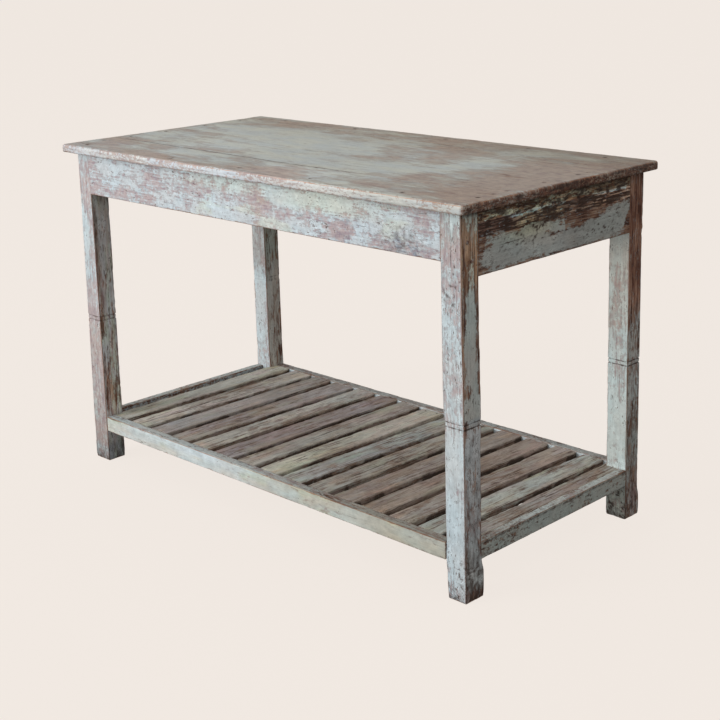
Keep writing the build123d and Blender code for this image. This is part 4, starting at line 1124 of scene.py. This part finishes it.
    tint = tinted(N, (cool, (1.04, 1.0, 1.07)), (rgn, (1.0, 0.79, 0.69)), (rgn * np.exp(-(y2 / 95.0) ** 4), (0.77, 0.54, 0.41)), (rgn * sstep(y2, 90, 130), (0.91, 0.91, 0.91)), (topw * sstep(y2, 60, 240), (0.955, 0.91, 0.855)),
                  (frn * sstep(x2, -340, -260) * (1 - sstep(x2, -40, 30)), (1.06, 1.1, 1.13)),
                  (topw * sstep(x2, 330, 520) * (1 - sstep(y2, -180, -120)), (1.0, 0.965, 0.94)), (frn * sstep(x2, 260, 400), (0.93, 0.905, 0.885)),
                  (topw * (1 - sstep(x2, -460, -380)) * (1 - sstep(y2, -215, -175)), (1.02, 1.06, 1.12)),
                  (topw * sstep(x2, -30, 40) * (1 - sstep(x2, 170, 240)) * (1 - sstep(y2, -200, -170)), (1.07, 1.09, 1.13)),
                  (topw * sstep(x2, 300, 460), (0.95, 0.94, 0.93)), (topw * sstep(y2, 110, 180) * sstep(x2, -230, -100), (0.97, 0.95, 0.93)), (topw * sstep(x2, -420, -340) * (1 - sstep(x2, -230, -150)) * (1 - sstep(y2, -60, 0)), (1.06, 1.07, 1.09)))
    attrs = {"gco": grain_coords(np.stack([x2, y2, G[:, 2]], -1), "x", seed), "edge": edge, "paint": paint,
             "pink": pink, "tone": tone, "dirt": np.clip(dirt, 0, 1), "tint": tint}
    attrs["nose"] = np.clip(frn + rgn + np.exp(-((sd - 5.0) / 4.0) ** 2) * 0.7, 0, 1)
    make_object(node + "_worn", P, F, attrs, M_TOP, node)


top_board("front", 201)
top_board("middle", 211)
top_board("back", 223)


# --- shelf -----------------------------------------------------------------
def rail_long(node, seed):
    lo, hi = node_box(node)
    lo[0], hi[0] = -541.65, 538.85
    p = Piece(node + "_worn", node, "x", seed, lo, hi, step=4.5, cross_step=3.5, arris=1.7, wear=0.9)
    p.undulate(0.4, 0.15)
    G = p.G
    fr, bk, lf, rt, up, dn = face_dirs(p.n)
    x = G[:, 0]
    N = len(G)
    if node.endswith("front_rail"):
        items = [(330, None, 92, 260, 1, 9, -0.15), (-250, None, 95, 300, 1, 20, 0.25), (150, None, 80, 60, 1, 6, -0.4)]
        paint = fr * (1.1 + blobs(G, items, seed=seed)) + up * (0.7 - 0.9 * sstep(x, -100, 150)) + (bk + dn) * 0.2
        pink = fr * 0.9 + up * 0.6 + bk * 0.4
        tone = fr * (-0.08 - 0.1 * sstep(x, -20, 120)) + up * (-0.1 - 0.25 * sstep(x, -20, 300))
        dirt = up * 0.12 - fr * 0.55 * (1 - 0.6 * sstep(fbm(G / np.array([60.0, 30, 30]), seed + 15, 3), 0.1, 0.35))
        tint = tinted(N, (fr * (0.35 + 0.65 * sstep(x, -60, 200)), (1.0, 0.95, 0.85)), (up, (1.0, 0.98, 0.94)),
                      (fr * sstep(fbm(G / np.array([110.0, 30, 26]), seed + 7, 3), 0.05, 0.35), (1.0, 0.935, 0.88)),
                      (fr * sstep(fbm(G / np.array([130.0, 30, 30]), seed + 9, 3), 0.1, 0.4) * 0.8, (1.0, 0.985, 0.84)),
                      (fr * sstep(x, 380, 460) * sstep(G[:, 2], 88, 100), (1.04, 1.05, 1.08)),
                      (up * sstep(x, 20, 320), (0.83, 0.78, 0.715)), (fr * sstep(x, 250, 400), (0.90, 0.85, 0.79)), (fr * sstep(x, -40, 60), (0.92, 0.92, 0.92)), (up * sstep(x, 20, 120), (0.95, 0.93, 0.91)),
                      (fr * np.exp(-((x + 200) / 120.0) ** 2) * sstep(G[:, 2], 90, 100), (1.02, 1.03, 1.08)), (fr * (1 - sstep(x, -530, -470)), (1.04, 0.99, 0.9)))
    else:
        tint = np.ones((N, 3))
        paint = fr * 0.9 + up * 0.1 + (bk + dn) * 0.2
        pink = fr * 0.8 + up * 0.5 + bk * 0.6
        tone = up * (-0.5)
        dirt = up * 0.3
        tint = tinted(N, (up, (1.0, 0.93, 0.86)))
    p.finish(M_FRAME, "frame_paint", tint=tint, paint=paint, pink=pink, tone=tone, dirt=dirt)


def rail_end(node, seed):
    lo, hi = node_box(node)
    lo[1], hi[1] = -233.8, 233.8
    p = Piece(node + "_worn", node, "y", seed, lo, hi, step=4.0, cross_step=3.5, arris=1.9, wear=1.2)
    p.undulate(0.45, 0.2)
    G = p.G
    fr, bk, lf, rt, up, dn = face_dirs(p.n)
    out = rt if "right" in node else lf
    paint = out * 0.5 + up * 0.3 + (dn + (lf if "right" in node else rt)) * (-0.2)
    pink = out * 0.25 + up * 0.5
    tone = out * (-0.3) + up * (-0.14)
    z = G[:, 2]
    dirt = out * (0.65 * np.exp(-((z - (hi[2] - 4.0)) / 3.0) ** 2)) + up * 0.25
    tint = tinted(len(G), (out + up, (1.0, 0.955, 0.885)), (out, (0.99, 1.0, 0.97)))
    p.finish(M_FRAME, "frame_paint", tint=tint, squeeze=2.0, paint=paint, pink=pink, tone=tone, dirt=dirt)


rail_long("shelf_front_rail", 301)
rail_long("shelf_back_rail", 311)
rail_end("shelf_left_rail", 321)
rail_end("shelf_right_rail", 331)

GAPS = [
    (-568.25, -546.0, -568.25, -545.0), (-493.0, -473.0, -489.0, -468.0), (-414.0, -397.0, -405.0, -388.0),
    (-339.0, -321.0, -332.0, -314.0), (-264.0, -246.0, -250.0, -234.0), (-186.0, -168.0, -175.0, -157.0),
    (-107.0, -90.0, -98.0, -82.0), (-34.0, -16.0, -24.0, -8.0), (42.0, 58.0, 54.0, 73.0),
    (118.0, 135.0, 133.0, 151.0), (195.0, 214.0, 209.0, 229.0), (273.0, 294.0, 290.0, 309.0),
    (352.0, 371.0, 366.0, 385.0), (427.0, 447.0, 443.0, 460.0), (504.0, 526.0, 514.0, 531.0),
    (567.3, 568.25, 567.3, 568.25),
]
# colour of each slat's thin paint, as sRGB, and how much of it is left
SLATS = [
    ((184, 180, 170), 0.3), ((192, 186, 178), 0.35), ((161, 151, 149), 0.1), ((156, 142, 140), 0.0), ((186, 180, 171), 0.25),
    ((150, 134, 136), 0.15), ((168, 160, 150), 0.1), ((195, 190, 174), 0.3), ((168, 174, 170), 0.25), ((157, 151, 141), -0.1),
    ((154, 138, 129), -0.1), ((156, 134, 120), -0.15), ((158, 146, 138), 0.0), ((170, 176, 170), 0.3), ((153, 148, 141), -0.05),
]


def slat(i):
    node = "shelf_slat_%02d" % (i + 1)
    lo, hi = node_box(node)
    g0, g1 = GAPS[i], GAPS[i + 1]
    ylo, yhi = lo[1], hi[1]
    wf, wb = g1[0] - g0[1], g1[2] - g0[3]
    w = (wf + wb) / 2
    seed = 400 + 13 * i
    p = Piece(node + "_worn", node, "y", seed, (0, ylo, lo[2]), (w, yhi, hi[2]), step=4.0, cross_step=2.4,
              arris=2.2, wear=1.4, edge=(0.0, 0.6, 1.3, 2.2, 3.4, 5.2), low_r=0.9)
    p.undulate(0.5, 0.5)
    G = p.G
    # long edges are eaten away unevenly, and the face is ridged along the grain
    side = np.abs(p.n[:, 0]) * sstep(G[:, 2], lo[2] + 5.0, hi[2] - 3.0)
    eat = 0.9 * (0.5 + 0.5 * fbm(G / np.array([400.0, 55.0, 400.0]), seed + 5, 3))
    bite = sstep(fbm(G / np.array([30.0, 19.0, 30.0]), seed + 8, 3), 0.22, 0.62)
    eat += (0.6 if i in (13, 14) else 1.9) * bite
    p.P[:, 0] -= np.sign(p.n[:, 0]) * side * eat
    rdg = 1 - np.abs(fbm(G / np.array([4.6, 95.0, 60.0]), seed + 12, 2)) * 2.2
    p.P[:, 2] -= 0.55 * np.clip(rdg, 0, 1) ** 2 * np.clip(p.n[:, 2], 0, 1)
    if i == 13:
        p.P[:, 0] += 1.3 * np.clip(p.n[:, 0], 0, 1)
    if i == 14:
        p.P[:, 0] -= 0.9 * np.clip(-p.n[:, 0], 0, 1)
    t = (G[:, 1] - ylo) / (yhi - ylo)
    left = g0[1] + (g0[3] - g0[1]) * t
    width = wf + (wb - wf) * t
    p.P[:, 0] = left + p.P[:, 0] * width / w
    rng = np.random.default_rng(seed)
    # slats don't lie quite level: each sits a touch lower at one end or side
    drop = 0.5 * rng.random() + 0.8 * rng.random() * (t if rng.random() < 0.5 else 1 - t)
    p.P[:, 2] -= drop * sstep(G[:, 2], lo[2], hi[2])
    # notches round the legs at the two ends of the shelf
    ix, iy = (541.65 if i == 0 else 538.85) - 0.5, 233.8 - 0.5
    if i in (0, 14):
        k = (np.abs(p.P[:, 0]) > ix) & (np.abs(p.P[:, 1]) > iy)
        dx, dy = np.abs(p.P[:, 0]) - ix, np.abs(p.P[:, 1]) - iy
        into_x = k & (dx <= dy)
        into_y = k & (dx > dy)
        p.P[into_x, 0] = np.sign(p.P[into_x, 0]) * ix
        p.P[into_y, 1] = np.sign(p.P[into_y, 1]) * iy
    col, amt = SLATS[i]
    base = np.array(lin_rgb(*col)) / np.array(lin_rgb(178, 172, 164))
    base = 0.35 + 0.65 * base
    stain = sstep(fbm(G / np.array([14.0, 75.0, 40.0]), seed + 31, 3), -0.1, 0.45)
    cool = sstep(fbm(G / np.array([11.0, 60.0, 40.0]), seed + 37, 3), 0.0, 0.5)
    arr = np.exp(-p.edge_d / 2.2) * sstep(G[:, 2], hi[2] - 6.0, hi[2] - 2.5)
    crumb = arr * sstep(fbm(G / np.array([9.0, 12.0, 9.0]), seed + 51, 3), 0.08, 0.34)

    def zone(k):
        return 0.8 * sstep(fbm(G / np.array([26.0, 90.0, 40.0]), seed + k, 3), 0.1, 0.4)

    tint = tinted(len(G), (np.ones(len(G)), base), (stain * 0.6, (0.95, 0.88, 0.82)), (cool * 0.6, (0.97, 1.0, 1.05)),
                  (zone(61), (1.0, 0.9, 0.93)), (zone(67), (0.96, 1.0, 0.9)), (zone(71), (1.0, 0.9, 0.8)), (zone(73), (0.96, 1.02, 1.06)),
                  (crumb, (1.28, 1.28, 1.3)))
    fr, bk, lf, rt, up, dn = face_dirs(p.n)
    N = len(G)
    pn = fbm(G / np.array([16.0, 120.0, 20.0]), seed, 3)
    low = 1 - sstep(G[:, 2], hi[2] - 10.0, hi[2] - 2.0)
    paint = up * (0.3 + amt * 1.3 + 0.4 * pn) + (lf + rt) * (-0.1 - 0.9 * low) + (fr + bk) * (-0.2) + dn * (-0.6) + 3.2 * crumb
    pink = 0.45 * up + 0.3 * (lf + rt) + 0.25 * fbm(G / np.array([20.0, 90.0, 20.0]), seed + 3, 2)
    # the side faces are lighter near the top and darker towards the bottom and in long drifts: painted shade in the
    # gaps between slats
    tone = up * (-0.05 - (0.05 if i in (2, 3, 10, 11, 14) else 0.0) + 0.02 * rng.uniform(-1, 1)) + (lf + rt) * (0.24 - 0.36 * low) + dn * (-0.25)
    gap_shade = sstep(fbm(G / np.array([400.0, 48.0, 400.0]), seed + 81, 2), 0.0, 0.3)
    dirt = (lf + rt) * (0.1 + 0.25 * low + 0.9 * gap_shade * (0.35 + 0.65 * low)) + 0.35 * np.exp(-np.minimum(G[:, 1] - ylo, yhi - G[:, 1]) / 5.0) + dn * 0.2
    p.finish(M_SHELF, "shelf_paint", tint=tint, paint=paint, pink=pink, tone=tone, dirt=dirt)


for i in range(15):
    slat(i)


# --- hidden pieces keep their exact shapes, with edges eased ---------------
def plain_piece(node, axis, seed, lo=None, hi=None):
    a, b = node_box(node)
    p = Piece(node + "_worn", node, axis, seed, a if lo is None else lo, b if hi is None else hi,
              step=6.0, cross_step=4.0, arris=1.2, wear=0.6)
    p.undulate(0.3, 0.2)
    N = len(p.G)
    p.finish(M_BARE, "bare_wood", paint=np.zeros(N), pink=np.full(N, 0.5), tone=-0.1 * np.ones(N), dirt=np.full(N, 0.2))


plain_piece("shelf_ledger_front", "x", 501)
plain_piece("shelf_ledger_back", "x", 511)
blo, bhi = node_box("top_bearer")
blo[1], bhi[1] = -256.6, 256.6
plain_piece("top_bearer", "y", 521, blo, bhi)


def lathe(points, around, centre, axis, wobble=0.0, seed=0):
    """A closed round form: points are (radius, height), closed at both ends on the axis."""
    verts, faces = [], []
    rng = np.random.default_rng(seed)
    ph = rng.uniform(0, 6.28)
    for r, h in points:
        for k in range(around):
            a = 2 * math.pi * k / around
            rr = r * (1 + wobble * math.sin(2 * a + ph) + 0.5 * wobble * math.sin(5 * a + 2 * ph))
            verts.append((rr * math.cos(a), rr * math.sin(a), h))
    n = len(points)
    for j in range(n - 1):
        for k in range(around):
            k2 = (k + 1) % around
            faces.append((j * around + k, j * around + k2, (j + 1) * around + k2, (j + 1) * around + k))
    V = np.array(verts)
    lo_c, hi_c = len(V), len(V) + 1
    V = np.vstack([V, [0, 0, points[0][1]], [0, 0, points[-1][1]]])
    tris = [(lo_c, (k + 1) % around, k) for k in range(around)]
    tris += [(hi_c, (n - 1) * around + k, (n - 1) * around + (k + 1) % around) for k in range(around)]
    z = Vector(axis).normalized()
    R = np.array(z.to_track_quat("Z", "Y").to_matrix())
    return V @ R.T + np.array(centre), faces, tris


def join_solids(name, parts, material, node, attrs_fn=None):
    """One object from several closed forms."""
    me = bpy.data.meshes.new(name)
    allv, allf = [], []
    off = 0
    for V, faces, tris in parts:
        allv.append(V)
        allf += [tuple(i + off for i in f) for f in faces] + [tuple(i + off for i in f) for f in tris]
        off += len(V)
    V = np.vstack(allv)
    me.from_pydata((V / 1000.0).tolist(), [], allf)
    me.validate()
    for poly in me.polygons:
        poly.use_smooth = True
    if attrs_fn:
        for key, val in attrs_fn(V).items():
            val = np.asarray(val, np.float32)
            a = me.attributes.new(key, "FLOAT" if val.ndim == 1 else "FLOAT_VECTOR", "POINT")
            a.data.foreach_set("value" if val.ndim == 1 else "vector", val.ravel())
    ob = bpy.data.objects.new(name, me)
    bpy.context.scene.collection.objects.link(ob)
    me.materials.append(material)
    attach(ob, "root")
    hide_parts(node)
    return ob


def nail_form(x, y, z, axis, length, seed, head_r=2.6, shank=1.4):
    """A cut nail from its head: a slightly domed, uneven head on a tapering shank. axis points from the head to the point."""
    prof = [(0.35, length), (shank * 0.75, length - 4.0), (shank, length * 0.6), (shank, 1.6), (head_r * 0.96, 1.25),
            (head_r, 0.8), (head_r * 0.93, 0.3), (head_r * 0.6, 0.08), (head_r * 0.2, 0.0)]
    return lathe([(r, h) for r, h in reversed(prof)], 12, (x, y, z), axis, 0.05, seed)


nails = [nail_form(x, y, TOP_H - 1.25, (0, 0, -1), 34.0, 600 + k) for k, (x, y) in enumerate(TOP_NAILS)]
join_solids("top_nails_heads", nails, M_IRON, "top_nails")


def peg_form(x, y, z, axis, r, length, seed):
    """A whittled peg whose face stands a hair proud of the leg. axis points into the leg."""
    prof = [(0.35, 1.3), (0.95, 1.1), (1.25, 0.25), (r * 0.7, -0.15), (r * 0.93, 0.1), (r, 0.6), (r, length * 0.6), (r * 0.94, length - 1.0), (r * 0.5, length)]
    return lathe(prof, 20, (x, y, z), axis, 0.035, seed)


def peg_fields(V):
    N = len(V)
    front = (np.abs(V[:, 1]) > FY - 6) * 1.0
    return {"gco": grain_coords(V, "z", 77), "edge": np.zeros(N), "paint": 0.5 * front - 0.5 * (1 - front),
            "pink": 0.8 * front, "tone": np.full(N, 0.1), "dirt": np.full(N, 0.1), "tint": np.ones((N, 3))}


pegs = []
for sx in (-1, 1):
    for sy in (-1, 1):
        pegs.append(peg_form(sx * 549.5, sy * (FY - 0.15), 684.0, (0, -sy, 0), 3.5, 33.5, 700 + sx + 2 * sy))
        pegs.append(peg_form(sx * (FX - 0.15), sy * 250.5, 651.0, (-sx, 0, 0), 3.5, 33.5, 710 + sx + 2 * sy))
        pegs.append(peg_form(sx * (FX - 0.15), sy * 262.0, 687.5, (-sx, 0, 0), 3.5, 33.5, 720 + sx + 2 * sy))
join_solids("apron_pegs_ends", pegs, M_FRAME, "apron_pegs", peg_fields)
pegs = []
for sx in (-1, 1):
    for sy in (-1, 1):
        yf = FY - (3.15 if (sx, sy) == (1, 1) else 0.25)
        pegs.append(peg_form(sx * 554.65, sy * yf, 87.5, (0, -sy, 0), 3.0, 29.0, 730 + sx + 2 * sy))
        pegs.append(peg_form(sx * (FX - 0.15), sy * 245.8, 98.5, (-sx, 0, 0), 3.0, 33.0, 740 + sx + 2 * sy))
join_solids("shelf_rail_pegs_ends", pegs, M_FRAME, "shelf_rail_pegs", peg_fields)

snails = []
yn = 278.6 - 22.0 - 10.0
for i in range(15):
    for sy, a, b in ((-1, GAPS[i][1], GAPS[i + 1][0]), (1, GAPS[i][3], GAPS[i + 1][2])):
        xs = [min((a + b) / 2, 534.7)] if b - a < 45 else [a + 13.0, b - 13.0]
        for x in xs:
            x = max(-534.65, min(534.7, x))
            snails.append(nail_form(x, sy * yn, 110.7 - 1.1, (0, 0, -1), 29.0, 800 + len(snails), 2.4))
join_solids("slat_nails_heads", snails, M_IRON, "slat_nails")

# pieces that stay as the CAD made them take their own finish
for node in ("ledger_nails", "bearer_screws"):
    ob = frame["nodes"][node]
    ob.data.materials.clear()
    ob.data.materials.append(M_IRON)
ob = frame["nodes"]["top_seam_dowels"]
co = np.array([v.co for v in ob.data.vertices]) * 1000.0
for key, val in peg_fields(co).items():
    val = np.asarray(val, np.float32)
    a = ob.data.attributes.new(key, "FLOAT" if val.ndim == 1 else "FLOAT_VECTOR", "POINT")
    a.data.foreach_set("value" if val.ndim == 1 else "vector", val.ravel())
ob.data.materials.clear()
ob.data.materials.append(M_BARE)

# ---------------------------------------------------------------------------
# studio
# ---------------------------------------------------------------------------
scene = bpy.context.scene
scene.view_settings.view_transform = "Standard"
scene.view_settings.look = "None"
scene.view_settings.exposure = 0.0
scene.view_settings.gamma = 1.0

CREAM = lin_rgb(240, 232, 225)


def floor():
    me = bpy.data.meshes.new("studio_floor")
    n = 24
    half = 30.0
    vs = [(-half + 2 * half * i / n, -half + 2 * half * j / n, 0.0) for i in range(n + 1) for j in range(n + 1)]
    fs = [(i * (n + 1) + j, (i + 1) * (n + 1) + j, (i + 1) * (n + 1) + j + 1, i * (n + 1) + j + 1) for i in range(n) for j in range(n)]
    me.from_pydata(vs, [], fs)
    ob = bpy.data.objects.new("studio_floor", me)
    scene.collection.objects.link(ob)
    ob.location.z = -0.0005
    t = Tree("studio_floor")
    e = t.node("ShaderNodeEmission")
    e.inputs["Color"].default_value = (*CREAM, 1)
    e.inputs["Strength"].default_value = 0.955
    d = t.node("ShaderNodeBsdfDiffuse")
    d.inputs["Color"].default_value = (*[c * 0.07 for c in CREAM], 1)
    s = t.node("ShaderNodeAddShader")
    t.nt.links.new(e.outputs[0], s.inputs[0])
    t.nt.links.new(d.outputs[0], s.inputs[1])
    out = t.node("ShaderNodeOutputMaterial")
    t.nt.links.new(s.outputs[0], out.inputs[0])
    me.materials.append(t.mat)
    ob.visible_diffuse = False
    ob.visible_glossy = False
    return ob


floor()


def area(name, place, target, size, power, colour=(1, 1, 1), size_y=None):
    d = bpy.data.lights.new(name, "AREA")
    d.shape = "RECTANGLE"
    d.size = size
    d.size_y = size_y or size
    d.energy = power
    d.color = colour
    ob = bpy.data.objects.new(name, d)
    scene.collection.objects.link(ob)
    ob.location = place
    v = Vector(target) - Vector(place)
    ob.rotation_mode = "QUATERNION"
    ob.rotation_quaternion = v.to_track_quat("-Z", "Y")
    ob.visible_camera = False
    return ob


area("key", (-2.9, -6.2, 3.5), (0, 0, 0.45), 3.2, 195.0, (0.97, 1.0, 1.01), 4.6)
# a low, broad bounce from the front
area("bounce", (-1.9, -6.6, 1.2), (0, 0, 0.45), 3.4, 212.0, (0.97, 1.0, 1.01), 1.6)

world = bpy.data.worlds.new("studio")
scene.world = world
world.use_nodes = True
wt = world.node_tree
wt.nodes.clear()
# soft studio bounce: a little more from above than from below
wc = wt.nodes.new("ShaderNodeTexCoord")
ws = wt.nodes.new("ShaderNodeSeparateXYZ")
wt.links.new(wc.outputs["Generated"], ws.inputs[0])
wr = wt.nodes.new("ShaderNodeMapRange")
wr.inputs["From Min"].default_value = -0.714
wr.inputs["From Max"].default_value = 1.0
wr.inputs["To Min"].default_value = 0.0
wr.inputs["To Max"].default_value = 0.66
wt.links.new(ws.outputs["Z"], wr.inputs["Value"])
bg = wt.nodes.new("ShaderNodeBackground")
bg.inputs["Color"].default_value = (1.0, 0.985, 0.965, 1)
wt.links.new(wr.outputs[0], bg.inputs["Strength"])
wo = wt.nodes.new("ShaderNodeOutputWorld")
wt.links.new(bg.outputs[0], wo.inputs[0])


def backdrop():
    """A pale wall far round the bench, seen only by the camera."""
    me = bpy.data.meshes.new("studio_backdrop")
    n, r, h = 64, 29.0, 40.0
    vs, fs = [], []
    for j, z in enumerate((-0.2, h)):
        for k in range(n):
            a = 2 * math.pi * k / n
            vs.append((r * math.cos(a), r * math.sin(a), z))
    for k in range(n):
        fs.append((k, (k + 1) % n, n + (k + 1) % n, n + k))
    vs.append((0, 0, h))
    for k in range(n):
        fs.append((n + k, n + (k + 1) % n, 2 * n))
    me.from_pydata(vs, [], fs)
    ob = bpy.data.objects.new("studio_backdrop", me)
    scene.collection.objects.link(ob)
    t = Tree("studio_backdrop")
    e = t.node("ShaderNodeEmission")
    e.inputs["Color"].default_value = (*CREAM, 1)
    e.inputs["Strength"].default_value = 1.0
    out = t.node("ShaderNodeOutputMaterial")
    t.nt.links.new(e.outputs[0], out.inputs[0])
    me.materials.append(t.mat)
    ob.visible_diffuse = False
    ob.visible_glossy = False
    ob.visible_shadow = False
    ob.visible_transmission = False
    return ob


backdrop()

# camera: at the height and angle from which the bench is usually shown
cam_data = bpy.data.cameras.new("camera")
cam = bpy.data.objects.new("camera", cam_data)
scene.collection.objects.link(cam)
yaw, pitch, roll = math.radians(43.5262), math.radians(-13.3897), math.radians(-1.1773)
fwd = Vector((-math.sin(yaw) * math.cos(pitch), math.cos(yaw) * math.cos(pitch), math.sin(pitch)))
rgt = Vector((math.cos(yaw), math.sin(yaw), 0.0))
upv = rgt.cross(fwd)
c, s = math.cos(roll), math.sin(roll)
r2, u2 = c * rgt + s * upv, -s * rgt + c * upv
rot = Matrix((r2, u2, -fwd)).transposed()
cam.rotation_mode = "QUATERNION"
cam.rotation_quaternion = rot.to_quaternion()
cam.location = (2.1779879, -2.0842778, 1.2243334)
cam_data.sensor_width = 36.0
cam_data.sensor_fit = "HORIZONTAL"
cam_data.lens = 1409.9425 / 720 * 36.0
cam_data.shift_x = (360.0 - 410.0) / 720.0
cam_data.shift_y = (265.0 - 360.0) / 720.0
cam_data.clip_start, cam_data.clip_end = 0.05, 200.0
scene.camera = cam
